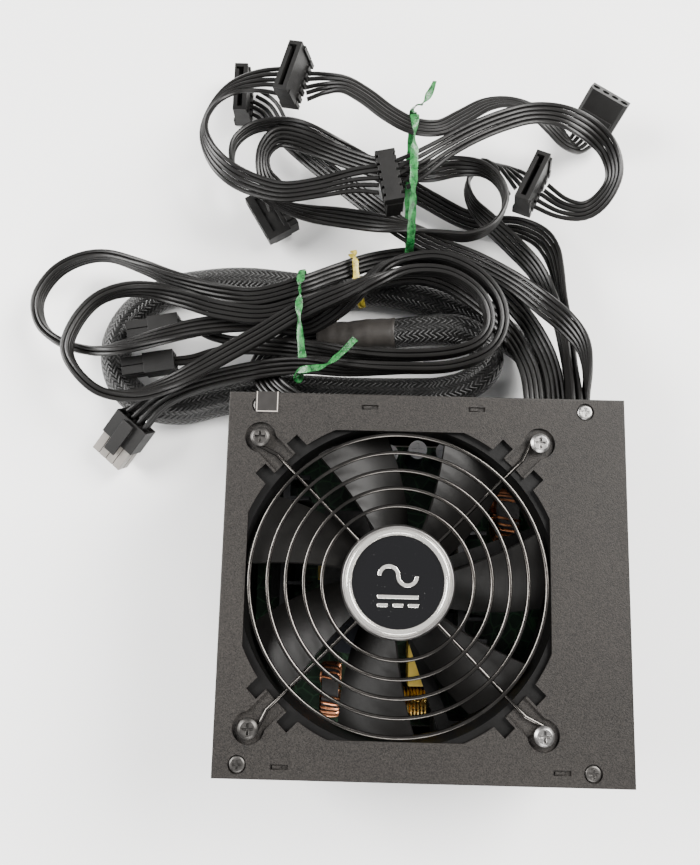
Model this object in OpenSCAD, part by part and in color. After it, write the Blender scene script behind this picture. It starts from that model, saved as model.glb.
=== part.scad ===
// Desktop computer power supply unit, ATX size, with its attached output cables.
// Frame: origin at the centre of the casing's base, +Z up to the fan side, +Y the cable side.

/* [Casing] */
// casing width along X
case_width = 150; // [148:0.5:152]
// casing length along Y
case_length = 140; // [139:0.5:141]
// casing height along Z
case_height = 86; // [85:0.5:87]
// sheet steel thickness
sheet = 0.8; // [0.6:0.1:1]
// depth of the screw flanges folded in at the top
flange_depth = 9; // [7:0.5:10]

/* [Mounting holes] */
// radius of a tapped 6-32 mounting hole
mount_radius = 1.4; // [1.35:0.05:1.5]
// height of the collar extruded behind each mounting hole
mount_collar = 1.6; // [1:0.1:2.5]

/* [Fan] */
// fan frame side
fan_size = 120; // [119:0.5:120.5]
// fan frame height
fan_height = 25; // [24:0.5:26]
// fan screw spacing
fan_pitch = 105; // [104:0.5:106]
// fan centre, offset along X from the casing's centre
fan_shift = -10; // [-11:0.5:-9]
// fan blade count
blade_count = 7; // [5:1:9]
// radius to the blade tips
blade_radius = 56.5; // [55:0.5:57]
// rotor hub radius
hub_radius = 20; // [19:0.5:21]
// shaft radius
shaft_radius = 1.5; // [1.2:0.1:1.8]

/* [Finger guard] */
// wire diameter
guard_wire = 1.5; // [1.2:0.1:1.7]
// radius of the outermost ring
guard_outer = 54.4; // [54:0.2:55]
// radial step from ring to ring
guard_step = 6.65; // [6.4:0.05:6.8]
// number of rings
guard_rings = 5; // [4:1:5]
// badge radius
badge_radius = 21; // [20:0.5:22]

/* [Rear panel] */
// honeycomb hole width across its flats
vent_flats = 4.6; // [4:0.1:5]
// honeycomb hole pitch
vent_pitch = 5.8; // [5.6:0.1:6.4]
// switch position, degrees of rocker travel from the shown limit
rocker_travel = 16; // [12:1:18]

/* [Cables] */
// braided main cable diameter
braid_diameter = 15; // [14:0.5:15.5]
// wire diameter over its insulation
wire_diameter = 2.1; // [1.9:0.1:2.2]
// wires side by side in a drive ribbon
drive_wires = 5; // [4:1:5]
// wires side by side in one layer of a stacked power cable
power_wires = 4; // [3:1:4]

/* [Hidden] */

$fn = 48;
eps = 0.01;
half_w = case_width / 2;
half_l = case_length / 2;
fit_gap = 0.1;
cover_in = half_w - sheet;
shell_half = cover_in - fit_gap;
shell_top = case_height - sheet - fit_gap;

// fan levels
pad_drop = 1.2;
pad_top = case_height - pad_drop;
fan_top = pad_top - sheet - 0.05;
fan_base = fan_top - fan_height;
bore_radius = 58.5;
half_pitch = fan_pitch / 2;
screw_reach = half_pitch * sqrt(2);
cut_half = 56;
cut_radius = 61;
ear_radius = 5.8;
ear_half = 4.6;
notch_out = 4.6;

// screw positions on the cover
cover_spots = [[60, 65], [60, -65], [-66, -65], [-63, 65]];
tab_spots = [[-21.5, 65], [19, 65], [-51, -65.5], [49, -65]];
tab_size = [6.4, 1.8];
m3_clear = 1.7;
m3_tap = 1.3;
dimple_radius = 3.3;
dimple_floor = case_height - 1;

// cable exit
exit_x = 58;
exit_z = 38;
exit_half_x = 15;
exit_half_z = 20;
exit_corner = 8;

ribbon_width = drive_wires * wire_diameter;
power_width = power_wires * wire_diameter;
power_depth = 2 * wire_diameter;

black = [0.05, 0.05, 0.055];
dark = [0.12, 0.12, 0.12];
steel = [0.7, 0.7, 0.72];
copper = [0.7, 0.35, 0.15];

// ---- route helpers -------------------------------------------------------
// A route point is [x, y, z, turn, width]: turn is the roll of the flat side in degrees.
function pick(p, i) = p[max(0, min(len(p) - 1, i))];

function ease(a, b, c, d, t) =
  0.5 * (2 * b + (c - a) * t + (2 * a - 5 * b + 4 * c - d) * t * t
  + (3 * b - a - 3 * c + d) * t * t * t);

function smooth_route(p, n) = [
  for (i = [0 : len(p) - 2])
    for (k = [0 : n - 1])
      ease(pick(p, i - 1), p[i], p[i + 1], pick(p, i + 2), k / n),
  p[len(p) - 1]];

function xyz(p) = [p[0], p[1], p[2]];

function heading(r, i) =
  let (v = xyz(pick(r, i + 1)) - xyz(pick(r, i - 1))) v / norm(v);

function across(t) = let (s = cross(t, [0, 0, 1])) s / norm(s);

function placed(r, i, u, v) =
  let (t = heading(r, i), s = across(t), n = cross(s, t), a = r[i][3])
  xyz(r[i]) + (s * cos(a) + n * sin(a)) * u + (n * cos(a) - s * sin(a)) * v;

// flat section of width w and depth d with clipped corners, as [u, v] pairs
function flat_section(w, d) =
  let (c = min(w, d) / 4, a = w / 2, b = d / 2)
  [[a, -b + c], [a, b - c], [a - c, b], [-a + c, b],
   [-a, b - c], [-a, -b + c], [-a + c, -b], [a - c, -b]];

function round_section(d, sides) =
  [for (k = [0 : sides - 1]) [cos(360 * k / sides), sin(360 * k / sides)] * d / 2];

module swept(rings) {
  sides = len(rings[0]);
  last = len(rings) - 1;
  points = [for (ring = rings) for (p = ring) p];
  walls = [for (i = [0 : last - 1]) for (k = [0 : sides - 1])
    let (a = i * sides + k, b = i * sides + (k + 1) % sides)
    each [[a, b, b + sides], [a, b + sides, a + sides]]];
  start = [for (k = [sides - 1 : -1 : 0]) k];
  finish = [for (k = [0 : sides - 1]) last * sides + k];
  polyhedron(points = points, faces = concat([start], walls, [finish]), convexity = 10);
}

module flat_cable(route, steps, depth) {
  r = smooth_route(route, steps);
  swept([for (i = [0 : len(r) - 1])
    [for (q = flat_section(r[i][4], depth)) placed(r, i, q[0], q[1])]]);
}

module round_cable(route, steps, sides) {
  r = smooth_route(route, steps);
  swept([for (i = [0 : len(r) - 1])
    [for (q = round_section(r[i][4], sides)) placed(r, i, q[0], q[1])]]);
}

module rounded_slab(w, h, r, t) {
  linear_extrude(t)
    union() {
      square([w - 2 * r, h], center = true);
      square([w, h - 2 * r], center = true);
      for (x = [-1, 1], y = [-1, 1])
        translate([x * (w / 2 - r), y * (h / 2 - r)]) circle(r);
    }
}

module cross_recess(radius, depth) {
  for (a = [0, 90])
    rotate([0, 0, a]) translate([-radius, -0.45, -depth]) cube([2 * radius, 0.9, depth + 1]);
}

module pan_screw(head, head_height, shank, length) {
  difference() {
    union() {
      cylinder(r = head, h = head_height * 0.6);
      translate([0, 0, head_height * 0.6])
        cylinder(r1 = head, r2 = head * 0.72, h = head_height * 0.4);
      translate([0, 0, -length]) cylinder(r = shank, h = length + eps);
    }
    translate([0, 0, head_height]) cross_recess(head * 0.55, head_height * 0.6);
  }
}

// ---- casing --------------------------------------------------------------
module vent_field() {
  rows = 11;
  columns = 23;
  for (j = [0 : rows - 1], i = [0 : columns - 1]) {
    x = -64 + i * vent_pitch + (j % 2) * vent_pitch / 2;
    z = 12 + j * vent_pitch * 0.866;
    in_inlet = x > 22 && x < 70 && z < 41;
    in_switch = x > 2 && x < 27 && z < 41;
    near_mount = norm([x + 45, z - 80]) < 7 || norm([x - 69, z - 70]) < 7 || norm([x - 69, z - 6]) < 8;
    if (!in_inlet && !in_switch && !near_mount && x < 66 && z < 76)
      translate([x, z]) rotate(30) circle(d = vent_flats / cos(30), $fn = 6);
  }
}

module rear_panel_outline() {
  difference() {
    translate([-shell_half, 0]) square([2 * shell_half, shell_top]);
    vent_field();
    translate([inlet_x, inlet_z]) square([27.4, 20.4], center = true);
    translate([switch_x, switch_z]) square([13.4, 19.4], center = true);
    for (p = mount_spots) translate(p) circle(mount_radius);
  }
}

mount_spots = [[-69, 6], [69, 6], [69, 70], [-45, 80]];
inlet_x = 47;
inlet_z = 25;
switch_x = 15;
switch_z = 25;

module cable_panel_outline() {
  difference() {
    translate([-shell_half, 0]) square([2 * shell_half, shell_top]);
    translate([exit_x, exit_z]) exit_slot(0);
    for (i = [0 : 9], j = [0 : 7])
      translate([-64 + i * 9, 14 + j * 8]) square([6, 2.4], center = true);
  }
}

module exit_slot(grow) {
  w = 2 * (exit_half_x + grow);
  h = 2 * (exit_half_z + grow);
  r = exit_corner + grow;
  square([w - 2 * r, h], center = true);
  square([w, h - 2 * r], center = true);
  for (x = [-1, 1], y = [-1, 1])
    translate([x * (w / 2 - r), y * (h / 2 - r)]) circle(r);
}

module tab(p) {
  translate([p[0], p[1], shell_top - sheet]) translate([-2.4, -0.5, 0]) cube([3, 1, sheet + fit_gap + 0.5]);
}

module base_shell() {
  color(dark) {
    difference() {
      union() {
        translate([-shell_half, -half_l, 0]) cube([2 * shell_half, case_length, sheet]);
        for (s = [-1, 1])
          translate([s > 0 ? shell_half - sheet : -shell_half, -half_l + sheet, 0])
            cube([sheet, case_length - 2 * sheet, 8]);
        translate([0, -half_l + sheet, 0]) rotate([90, 0, 0]) linear_extrude(sheet) rear_panel_outline();
        translate([0, half_l, 0]) rotate([90, 0, 0]) linear_extrude(sheet) cable_panel_outline();
        for (s = [-1, 1])
          translate([-shell_half, s > 0 ? half_l - flange_depth : -half_l, shell_top - sheet])
            cube([2 * shell_half, flange_depth, sheet]);
        for (p = cover_spots)
          translate([p[0], p[1], shell_top - 4]) cylinder(r = dimple_radius + 1.6, h = 4);
        for (p = mount_spots)
          translate([p[0], -half_l + sheet - eps, p[1]]) rotate([-90, 0, 0])
            cylinder(r = mount_radius + 0.8, h = mount_collar + eps);
        for (p = board_spots)
          translate([p[0], p[1], sheet - eps]) cylinder(r = 3, h = board_z - sheet);
        for (p = tab_spots) tab(p);
      }
      for (p = cover_spots) {
        translate([p[0], p[1], shell_top - 5]) cylinder(r = m3_tap, h = 8);
        translate([p[0], p[1], dimple_floor - sheet - fit_gap]) cylinder(r = dimple_radius + 0.7, h = 4);
      }
      for (p = mount_spots)
        translate([p[0], -half_l - 1, p[1]]) rotate([-90, 0, 0])
          cylinder(r = mount_radius, h = sheet + mount_collar + 2);
      for (p = board_spots)
        translate([p[0], p[1], sheet]) cylinder(r = m3_tap, h = board_z);
    }
  }
}

module ear_outline(grow) {
  for (a = [45, 135, 225, 315])
    rotate(a) {
      translate([screw_reach, 0]) circle(ear_radius + grow);
      translate([cut_radius - 6, -ear_half - grow])
        square([screw_reach - cut_radius + 6, 2 * (ear_half + grow)]);
    }
}

module notch_outline() {
  for (a = [45, 135, 225, 315], s = [-1, 1])
    rotate(a) translate([cut_radius - 4, s > 0 ? ear_half + sheet : -ear_half - sheet - 5.2])
      square([4 + notch_out, 5.2]);
}

module fan_opening() {
  intersection() {
    circle(cut_radius, $fn = 96);
    square(2 * cut_half, center = true);
  }
}

module fan_cover() {
  color(dark) {
    translate([0, 0, case_height - sheet])
      linear_extrude(sheet)
        difference() {
          square([case_width, case_length], center = true);
          translate([fan_shift, 0]) fan_opening();
          translate([fan_shift, 0]) ear_outline(0);
          translate([fan_shift, 0]) notch_outline();
          for (p = cover_spots) translate(p) circle(dimple_radius);
          for (p = tab_spots) translate(p) square(tab_size, center = true);
        }
    for (p = cover_spots)
      translate([p[0], p[1], dimple_floor - sheet])
        difference() {
          cylinder(r = dimple_radius + 0.6, h = case_height - dimple_floor + sheet - 0.2);
          translate([0, 0, sheet]) cylinder(r = dimple_radius, h = 4);
          translate([0, 0, -1]) cylinder(r = m3_clear, h = 4);
        }
    for (s = [-1, 1])
      translate([s > 0 ? cover_in : -half_w, -half_l, 0])
        cube([sheet, case_length, case_height - sheet + eps]);
    translate([fan_shift, 0, pad_top - sheet])
      linear_extrude(sheet)
        difference() {
          intersection() {
            ear_outline(sheet);
            square(2 * (half_pitch + ear_radius + 2), center = true);
          }
          fan_opening();
          for (x = [-1, 1], y = [-1, 1]) translate([x, y] * half_pitch) circle(m3_clear + 0.4);
        }
    translate([fan_shift, 0, pad_top - sheet])
      linear_extrude(pad_drop + eps)
        difference() {
          ear_outline(sheet);
          ear_outline(0);
          fan_opening();
          notch_outline();
        }
  }
}

module cover_screws() {
  color(steel)
    for (p = cover_spots)
      translate([p[0], p[1], dimple_floor]) pan_screw(2.85, 0.95, m3_tap, 4.5);
}

module seal_label() {
  color([0.2, 0.2, 0.2])
    union() {
      translate([-65, half_l - 8, case_height]) cube([9, 8.2, 0.12]);
      translate([-65, half_l, case_height - 14]) cube([9, 0.2, 14.05]);
    }
}

// ---- fan -----------------------------------------------------------------
module fan_frame() {
  color(black)
    translate([fan_shift, 0, fan_base])
      difference() {
        union() {
          difference() {
            rounded_slab(fan_size, fan_size, 6, fan_height);
            translate([0, 0, -1]) cylinder(r = bore_radius, h = fan_height + 2, $fn = 96);
            translate([0, 0, 4]) difference() {
              rounded_slab(fan_size + 4, fan_size + 4, 6, fan_height - 8);
              cylinder(r = bore_radius + 1.6, h = fan_height, $fn = 96);
              for (x = [-1, 1], y = [-1, 1])
                translate([x * half_pitch, y * half_pitch, 0]) cylinder(r = 4, h = fan_height);
            }
          }
          cylinder(r = 21, h = 3);
          for (a = [20 : 90 : 290])
            rotate([0, 0, a]) translate([19, -2.5, 0]) cube([bore_radius - 18.2, 5, 3]);
          cylinder(r = 4.2, h = 16);
        }
        translate([0, 0, 1.2]) cylinder(r = 3, h = 20);
        for (x = [-1, 1], y = [-1, 1])
          translate([x * half_pitch, y * half_pitch, -1]) cylinder(r = 1.9, h = fan_height + 2);
      }
}

module blade() {
  intersection() {
    difference() {
      translate([0, 0, 6.5]) cylinder(r = blade_radius, h = 16.5, $fn = 96);
      cylinder(r = hub_radius - 0.4, h = 30);
    }
    translate([18, 0, 14.5]) rotate([28, 0, 17])
      translate([0, 0, -0.7]) linear_extrude(1.4) polygon([[-2, -8], [46, -15], [46, 15], [-2, 8]]);
  }
}

module fan_rotor() {
  color(black)
    translate([fan_shift, 0, fan_base]) {
      difference() {
        translate([0, 0, 4.5]) cylinder(r = hub_radius, h = 18.5);
        translate([0, 0, 4]) cylinder(r = hub_radius - 1.6, h = 17.4);
      }
      translate([0, 0, 2.4]) cylinder(r = shaft_radius, h = 20);
      for (k = [0 : blade_count - 1])
        rotate([0, 0, 45.5 + k * 360 / blade_count]) blade();
    }
}

module fan_magnet() {
  color(dark)
    translate([fan_shift, 0, fan_base + 6])
      difference() {
        cylinder(r = hub_radius - 1.6, h = 12);
        translate([0, 0, -1]) cylinder(r = hub_radius - 3.4, h = 14);
      }
}

module fan_bearing() {
  color([0.7, 0.55, 0.3])
    translate([fan_shift, 0, fan_base + 1.2])
      difference() {
        cylinder(r = 3, h = 14.4);
        translate([0, 0, 0.8]) cylinder(r = shaft_radius + 0.03, h = 16);
      }
}

module fan_stator() {
  color(copper)
    translate([fan_shift, 0, fan_base + 6.4])
      difference() {
        union() {
          cylinder(r = 6.2, h = 8.6);
          for (a = [0 : 90 : 270])
            rotate([0, 0, a]) translate([4, -2.6, 1.4]) cube([9, 5.2, 5.6]);
          difference() {
            translate([0, 0, 2.2]) cylinder(r = 15.4, h = 4.2);
            translate([0, 0, 1]) cylinder(r = 12, h = 7);
            for (a = [45 : 90 : 315])
              rotate([0, 0, a]) translate([6, -2, 1]) cube([14, 4, 8]);
          }
        }
        translate([0, 0, -1]) cylinder(r = 4.25, h = 12);
      }
}

module fan_board() {
  color([0.1, 0.3, 0.15])
    translate([fan_shift, 0, fan_base + 3])
      difference() {
        cylinder(r = 15, h = 1.2);
        translate([0, 0, -1]) cylinder(r = 4.2, h = 4);
      }
}

module fan_screws() {
  color(steel)
    for (x = [-1, 1], y = [-1, 1])
      translate([fan_shift + x * half_pitch, y * half_pitch, pad_top + eyelet_wire])
        pan_screw(3.7, 2, 1.9, 8);
}

// ---- finger guard and badge -----------------------------------------------
guard_z = pad_top + guard_wire / 2;
ring_z = guard_z + guard_wire * 0.85;
eyelet = 2.75;
eyelet_wire = guard_wire + 0.14;

module wire_ring(r, z) {
  translate([0, 0, z]) rotate_extrude($fn = 96) translate([r, 0]) circle(d = guard_wire, $fn = 16);
}

module rod(p, q) {
  v = q - p;
  len_v = norm(v);
  translate(p) rotate([0, acos(v[2] / len_v), atan2(v[1], v[0])])
    cylinder(d = guard_wire, h = len_v, $fn = 16);
}

module guard_arm() {
  bend = screw_reach - 9;
  rod([badge_radius - 6, 0, guard_z], [bend, 0, guard_z]);
  rod([bend - 0.4, -0.15, guard_z], [screw_reach - 1, eyelet, guard_z]);
  translate([screw_reach, 0, pad_top + eyelet_wire / 2])
    rotate([0, 0, -190]) rotate_extrude(angle = 300) translate([eyelet, 0]) circle(d = eyelet_wire, $fn = 16);
}

module fan_guard() {
  color(steel)
    translate([fan_shift, 0, 0]) {
      for (k = [0 : guard_rings - 1]) wire_ring(guard_outer - k * guard_step, ring_z);
      for (a = [45 : 90 : 315]) rotate([0, 0, a]) guard_arm();
      translate([0, 0, guard_z + guard_wire / 2 - 0.4]) cylinder(r = badge_radius - 3, h = 0.9);
    }
}

badge_z = guard_z + guard_wire / 2 + 0.5;

module badge_bezel() {
  color(steel)
    translate([fan_shift, 0, badge_z])
      difference() {
        cylinder(r1 = badge_radius, r2 = badge_radius - 0.8, h = 2.2, $fn = 96);
        translate([0, 0, 0.8]) cylinder(r = badge_radius - 1.6, h = 4, $fn = 96);
      }
}

module badge_ring() {
  color([0.9, 0.9, 0.92])
    translate([fan_shift, 0, badge_z + 0.8])
      rotate_extrude($fn = 96)
        polygon([[16.9, 0], [19.4, 0], [19.4, 1.3], [18.6, 2.1], [17.7, 2.1], [16.9, 1.3]]);
}

module badge_disc() {
  color(black)
    translate([fan_shift, 0, badge_z + 0.8]) cylinder(r = 16.9, h = 0.9, $fn = 96);
}

module badge_motif() {
  color([0.9, 0.9, 0.92])
    translate([fan_shift, 0, badge_z + 1.7]) {
      wave_start = -7.5;
      for (s = [-1, 1])
        translate([s * 3.4, 2.2, 0])
          rotate([0, 0, s > 0 ? 180 : 0])
            rotate_extrude(angle = 180, $fn = 48) translate([2.7, 0]) square([1.4, 0.6]);
      translate([wave_start, -6, 0]) cube([15, 1.3, 0.6]);
      for (i = [0 : 2]) translate([wave_start + i * 5.6, -9, 0]) cube([3.8, 1.3, 0.6]);
    }
}

// ---- rear panel fittings --------------------------------------------------
module inlet_housing() {
  color(black)
    translate([inlet_x, -half_l, inlet_z]) rotate([90, 0, 0])
      difference() {
        union() {
          rounded_slab(31, 24, 2, 2.5);
          translate([-13.5, -10, -18]) cube([27, 20, 18 + eps]);
        }
        translate([-11.9, -8.2, -15]) cube([23.8, 16.4, 20]);
        for (x = [-7, 0, 7]) translate([x, x == 0 ? 3 : -2, -19]) cube([4.2, 2.4, 8], center = true);
      }
}

module inlet_pins() {
  color(steel)
    translate([inlet_x, -half_l, inlet_z]) rotate([90, 0, 0])
      for (x = [-7, 0, 7]) translate([x, x == 0 ? 3 : -2, -14]) cube([4, 2, 19], center = true);
}

module switch_frame() {
  color(black)
    translate([switch_x, -half_l, switch_z]) rotate([90, 0, 0])
      difference() {
        union() {
          rounded_slab(15.4, 21.4, 1.5, 1.8);
          translate([-6.6, -9.6, -14]) cube([13.2, 19.2, 14 + eps]);
        }
        translate([-5.2, -8.2, -12]) cube([10.4, 16.4, 20]);
      }
  color(black)
    for (s = [-1, 1])
      translate([switch_x + s * 4.9, -half_l + 3, switch_z]) rotate([0, 90, 0])
        cylinder(r = 1.1, h = 1.2, center = true);
}

module switch_rocker() {
  color(black)
    translate([switch_x, -half_l + 3, switch_z]) rotate([rocker_travel / 2, 0, 0])
      difference() {
        intersection() {
          translate([-4.9, -5.4, -7.2]) cube([9.8, 9, 14.4]);
          translate([-6, 0, 0]) rotate([0, 90, 0]) cylinder(r = 7.2, h = 12, $fn = 64);
        }
        translate([0, -16, 0]) rotate([0, 90, 0]) cylinder(r = 12, h = 20, center = true, $fn = 96);
        for (s = [-1, 1])
          translate([s * 4.9, 0, 0]) rotate([0, 90, 0]) cylinder(r = 1.15, h = 1.4, center = true);
      }
}

module cable_grommet() {
  color(black)
    translate([exit_x, half_l, exit_z]) rotate([90, 0, 0])
      difference() {
        union() {
          translate([0, 0, -1.4]) linear_extrude(1.4) exit_slot(0.9);
          translate([0, 0, -eps]) linear_extrude(sheet + 1.6) exit_slot(-0.1);
        }
        translate([0, 0, -4]) linear_extrude(12) exit_slot(-1.1);
      }
}

// ---- circuit board and what stands on it ----------------------------------
board_z = 8;
board_thick = 1.6;
board_top = board_z + board_thick;
board_spots = [[-64, -58], [66, -45], [-64, 56], [66, 50]];

module insulating_sheet() {
  color([0.85, 0.85, 0.8])
    translate([0, 0, sheet + 0.1])
      linear_extrude(0.4)
        difference() {
          square([140, 128], center = true);
          for (p = board_spots) translate(p) circle(3.6);
        }
}

module circuit_board() {
  color([0.15, 0.35, 0.2])
    translate([0, 0, board_z])
      linear_extrude(board_thick)
        difference() {
          square([140, 124], center = true);
          for (p = board_spots) translate(p) circle(m3_clear);
        }
}

module board_screws() {
  color(steel)
    for (p = board_spots)
      translate([p[0], p[1], board_top]) pan_screw(2.8, 1.8, m3_tap, 5);
}

module finned_plate(length, height, fins, pitch, depth) {
  cube([3, length, height]);
  for (i = [0 : fins - 1])
    translate([3 - eps, 2 + i * pitch, 8]) cube([depth, 1.6, height - 8]);
}

module heatsink_primary() {
  color(black)
    translate([-56, -30, board_top]) finned_plate(74, 44, 9, 8.6, 8);
}

module heatsink_secondary() {
  color(black)
    translate([16, -34, board_top]) finned_plate(66, 42, 8, 8.6, 9);
}

module power_transistors() {
  color(dark) {
    for (y = [-20, 0, 20]) {
      translate([-61, y - 7.8, board_top + 8]) cube([5, 15.6, 20]);
      translate([11, y - 7.8, board_top + 8]) cube([5, 15.6, 20]);
    }
  }
  color(steel)
    for (y = [-20, 0, 20], s = [-5, 0, 5]) {
      translate([-59, y + s - 0.5, board_top]) cube([0.8, 1, 8]);
      translate([13, y + s - 0.5, board_top]) cube([0.8, 1, 8]);
    }
}

module transformer_core() {
  color([0.2, 0.2, 0.2])
    translate([-22, 12, board_top + 3])
      difference() {
        translate([-17, -17, 0]) cube([34, 34, 30]);
        translate([-18, -12, 6]) cube([36, 24, 18]);
      }
}

module transformer_coil() {
  color([0.75, 0.65, 0.2])
    translate([-22, 12, board_top]) {
      translate([-16, -11.8, 9.2]) cube([32, 23.6, 17.6]);
      for (s = [-1, 1]) translate([s * 18.5 - 1.5, -12, 0]) cube([3, 24, 12]);
      for (s = [-1, 1]) translate([s > 0 ? 15.9 : -17.1, -11.8, 9.2]) cube([1.2, 23.6, 3]);
    }
}

module bulk_capacitor() {
  color([0.1, 0.1, 0.15])
    translate([-28, -18, board_top])
      difference() {
        cylinder(r = 11, h = 38);
        translate([0, 0, 38]) cross_recess(7, 0.4);
        translate([0, 0, 35]) rotate_extrude() translate([11.4, 0]) circle(0.8, $fn = 16);
      }
}

module output_capacitors() {
  color([0.75, 0.75, 0.78])
    for (p = [[0, 56, 32], [12, 56, 28], [-12, 55, 26], [44, 50, 24], [54, 50, 24], [30, 54, 22]])
      translate([p[0], p[1], board_top])
        difference() {
          cylinder(r = 4, h = p[2]);
          translate([0, 0, p[2]]) cross_recess(2.8, 0.3);
        }
}

module output_toroid() {
  color([0.4, 0.4, 0.35])
    translate([40, 30, board_top + 14]) rotate([0, 90, 0])
      difference() {
        cylinder(r = 11, h = 9, center = true);
        cylinder(r = 6, h = 11, center = true);
      }
}

module winding(turns, r_in, r_out, width, wire) {
  for (k = [0 : turns - 1])
    rotate([k * 330 / turns + 15, 0, 0]) translate([0, 0, (r_in + r_out) / 2])
      difference() {
        cube([width + 2 * wire, wire * 1.1, r_out - r_in + 2 * wire], center = true);
        cube([width, wire * 3, r_out - r_in], center = true);
      }
}

module output_winding() {
  color(copper)
    translate([40, 30, board_top + 14]) winding(16, 6, 11, 9.1, 1.2);
}

module filter_core() {
  color([0.3, 0.3, 0.3])
    translate([-35, -46, board_top + 13]) rotate([0, 90, 0])
      difference() {
        cylinder(r = 10.5, h = 7, center = true);
        cylinder(r = 6, h = 9, center = true);
      }
}

module filter_winding() {
  color(copper)
    translate([-35, -46, board_top + 13]) winding(16, 6, 10.5, 7.1, 1.2);
}

module filter_capacitors() {
  color([0.8, 0.65, 0.1]) {
    translate([-2, -44, board_top]) cube([9, 18, 15]);
    translate([28, -44, board_top]) cube([8, 16, 12]);
  }
  color([0.1, 0.1, 0.5]) translate([44, -40, board_top]) cylinder(r = 5, h = 7);
}

module gold_choke() {
  color([0.8, 0.6, 0.15])
    translate([1, -51, board_top + 8]) {
      for (k = [0 : 5])
        translate([-5.4 + k * 2.1, 0, 0]) rotate([0, 90, 0])
          difference() {
            cylinder(r = 6.4, h = 1.7, center = true);
            cylinder(r = 4.6, h = 4, center = true);
          }
    }
  color(dark)
    translate([1, -51, board_top + 8]) {
      rotate([0, 90, 0]) cylinder(r = 4.6, h = 15, center = true);
      for (s = [-1, 1]) translate([s * 8.2 - 1, -4.5, -8]) cube([2, 9, 13]);
    }
}

// ---- cable routes: [x, y, z, turn, width] ---------------------------------
function round_route(p, d) = [for (q = p) [q[0], q[1], q[2], 0, d]];
function flat_route(p, w) = [for (q = p) [q[0], q[1], q[2], q[3], len(q) > 4 ? q[4] : w]];

fan_lead_diameter = 3;
fan_lead_route = [[50, -30, 60], [53, -30, 59], [56, -30, 54], [57, -30, 46],
  [57, -31, 30], [57, -33, 16], [57, -34, 9.6]];

main_route = [[57, 60, 28], [58, 70, 27], [62, 84, 24], [60, 98, 18], [51, 111, 11], [38, 121, 8],
  [22, 128, 8], [5, 134, 8], [-15, 138, 8], [-35, 138, 8], [-55, 139, 8], [-80, 141, 8],
  [-100, 140, 8], [-118, 136, 8], [-133, 126, 8], [-141, 113, 8], [-142, 100, 8], [-137, 88, 8],
  [-126, 80, 8], [-108, 78, 8], [-88, 83, 8], [-60, 88, 8], [-30, 88, 8], [0, 88, 8], [14, 89, 9],
  [27, 93, 12], [34, 101, 16], [30.5, 110, 19], [20.5, 115.5, 20], [8, 116, 19.5], [-9, 115, 16]];

heatshrink_route = [[-9, 115, 16], [-20, 115, 14], [-33, 114, 12], [-46, 114, 11]];

main_wires_route = [[-46, 114, 11, 0, 12], [-56, 112.5, 10, 10, 12], [-66, 105, 12, 20, 12],
  [-71, 97, 18, 10, 12], [-67, 88, 23, 0, 12], [-59, 81, 26, 0, 11], [-48, 76.5, 26, 0, 9.6],
  [-30, 75.8, 25.5, 0, 9.4], [-12, 75.8, 25.2, 0, 9]];

graphics_route = [[60, 62, 40, 0], [60, 76, 40, 0], [59, 92, 37, 0], [56, 106, 32, 10],
  [49, 121, 27, 10], [38, 135, 23, 10], [20, 147, 20, 0], [0, 152, 19, 0], [-20, 149, 20, 0],
  [-37, 141, 25, 0], [-52, 132, 33, 0], [-72, 126, 33, 5], [-90, 128, 31, 30], [-112, 135, 27, 55],
  [-129, 143, 22, 75], [-146, 149, 19, 88], [-160, 148, 17, 90], [-172, 141, 16, 90],
  [-179, 128, 16, 90], [-176, 115, 17, 90], [-165, 106, 20, 88], [-148, 101, 25, 72],
  [-131, 102, 31, 45], [-114, 107, 32, 25], [-98, 112, 30, 10], [-80, 115, 28, 0], [-66, 114.5, 28, 0],
  [-52, 113.5, 28, 0], [-43, 117, 30, 5], [-34, 123, 32, 20], [-24, 133, 32, 42], [-15, 141, 35, 65],
  [-2, 144, 38, 85], [12, 143.5, 39, 90], [27, 136, 39, 90],
  [36, 124, 39, 90], [37, 111, 39, 90], [30, 100, 39, 90], [14, 94, 38, 90], [-8, 93, 37, 88],
  [-30, 93, 35, 65], [-52, 95, 31, 30], [-76, 92, 28, 5], [-100, 86, 26, 0], [-117, 79, 22, 0, 11],
  [-128, 70.5, 16.5, 0, 15.5]];

processor_route = [[51, 62, 40, 0], [50.5, 76, 40, 0], [49.5, 91, 37, 0], [46.5, 103, 32, 10],
  [40, 116, 27, 10], [31, 127, 23, 10], [16, 138, 20, 0], [0, 142.5, 19, 0], [-17, 139.5, 20, 0],
  [-33, 132, 25, 0], [-52, 122.5, 33, 0], [-70, 117, 34, 0], [-90, 119, 34, 10], [-106, 124, 33, 30],
  [-121, 128, 32, 60], [-134, 128, 32, 80], [-146, 123, 32, 90], [-154, 112, 33, 90],
  [-157, 99, 34, 90], [-151, 88, 34, 90], [-140, 80, 33, 80], [-125, 79, 33, 60], [-111, 84, 33, 35],
  [-98, 91, 34, 15], [-84, 99, 36, 0], [-70, 107, 37.5, 0], [-57, 115, 39, 0], [-45, 121, 40.5, 0],
  [-33, 125.5, 42.5, 15], [-20, 131, 43, 50], [-5, 137, 40, 82], [11, 137, 39, 90], [23, 131, 39, 90],
  [30, 122, 39, 90], [31, 112, 39, 90], [25, 104, 39, 90], [12, 100, 38, 90], [-8, 99, 36, 88],
  [-30, 100, 33, 70], [-50, 103, 29, 45], [-70, 105, 25, 20], [-86, 106, 22, 0]];

processor_leads_routes = [
  [[-86, 108.2, 22, 0], [-94, 110, 21.5, 0], [-102, 113.5, 21, 0], [-110, 115.5, 20.5, 0]],
  [[-86, 103.9, 22, 0], [-94, 102, 21.5, 0], [-103, 99, 21, 0], [-111, 98, 20.5, 0]]];

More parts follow.
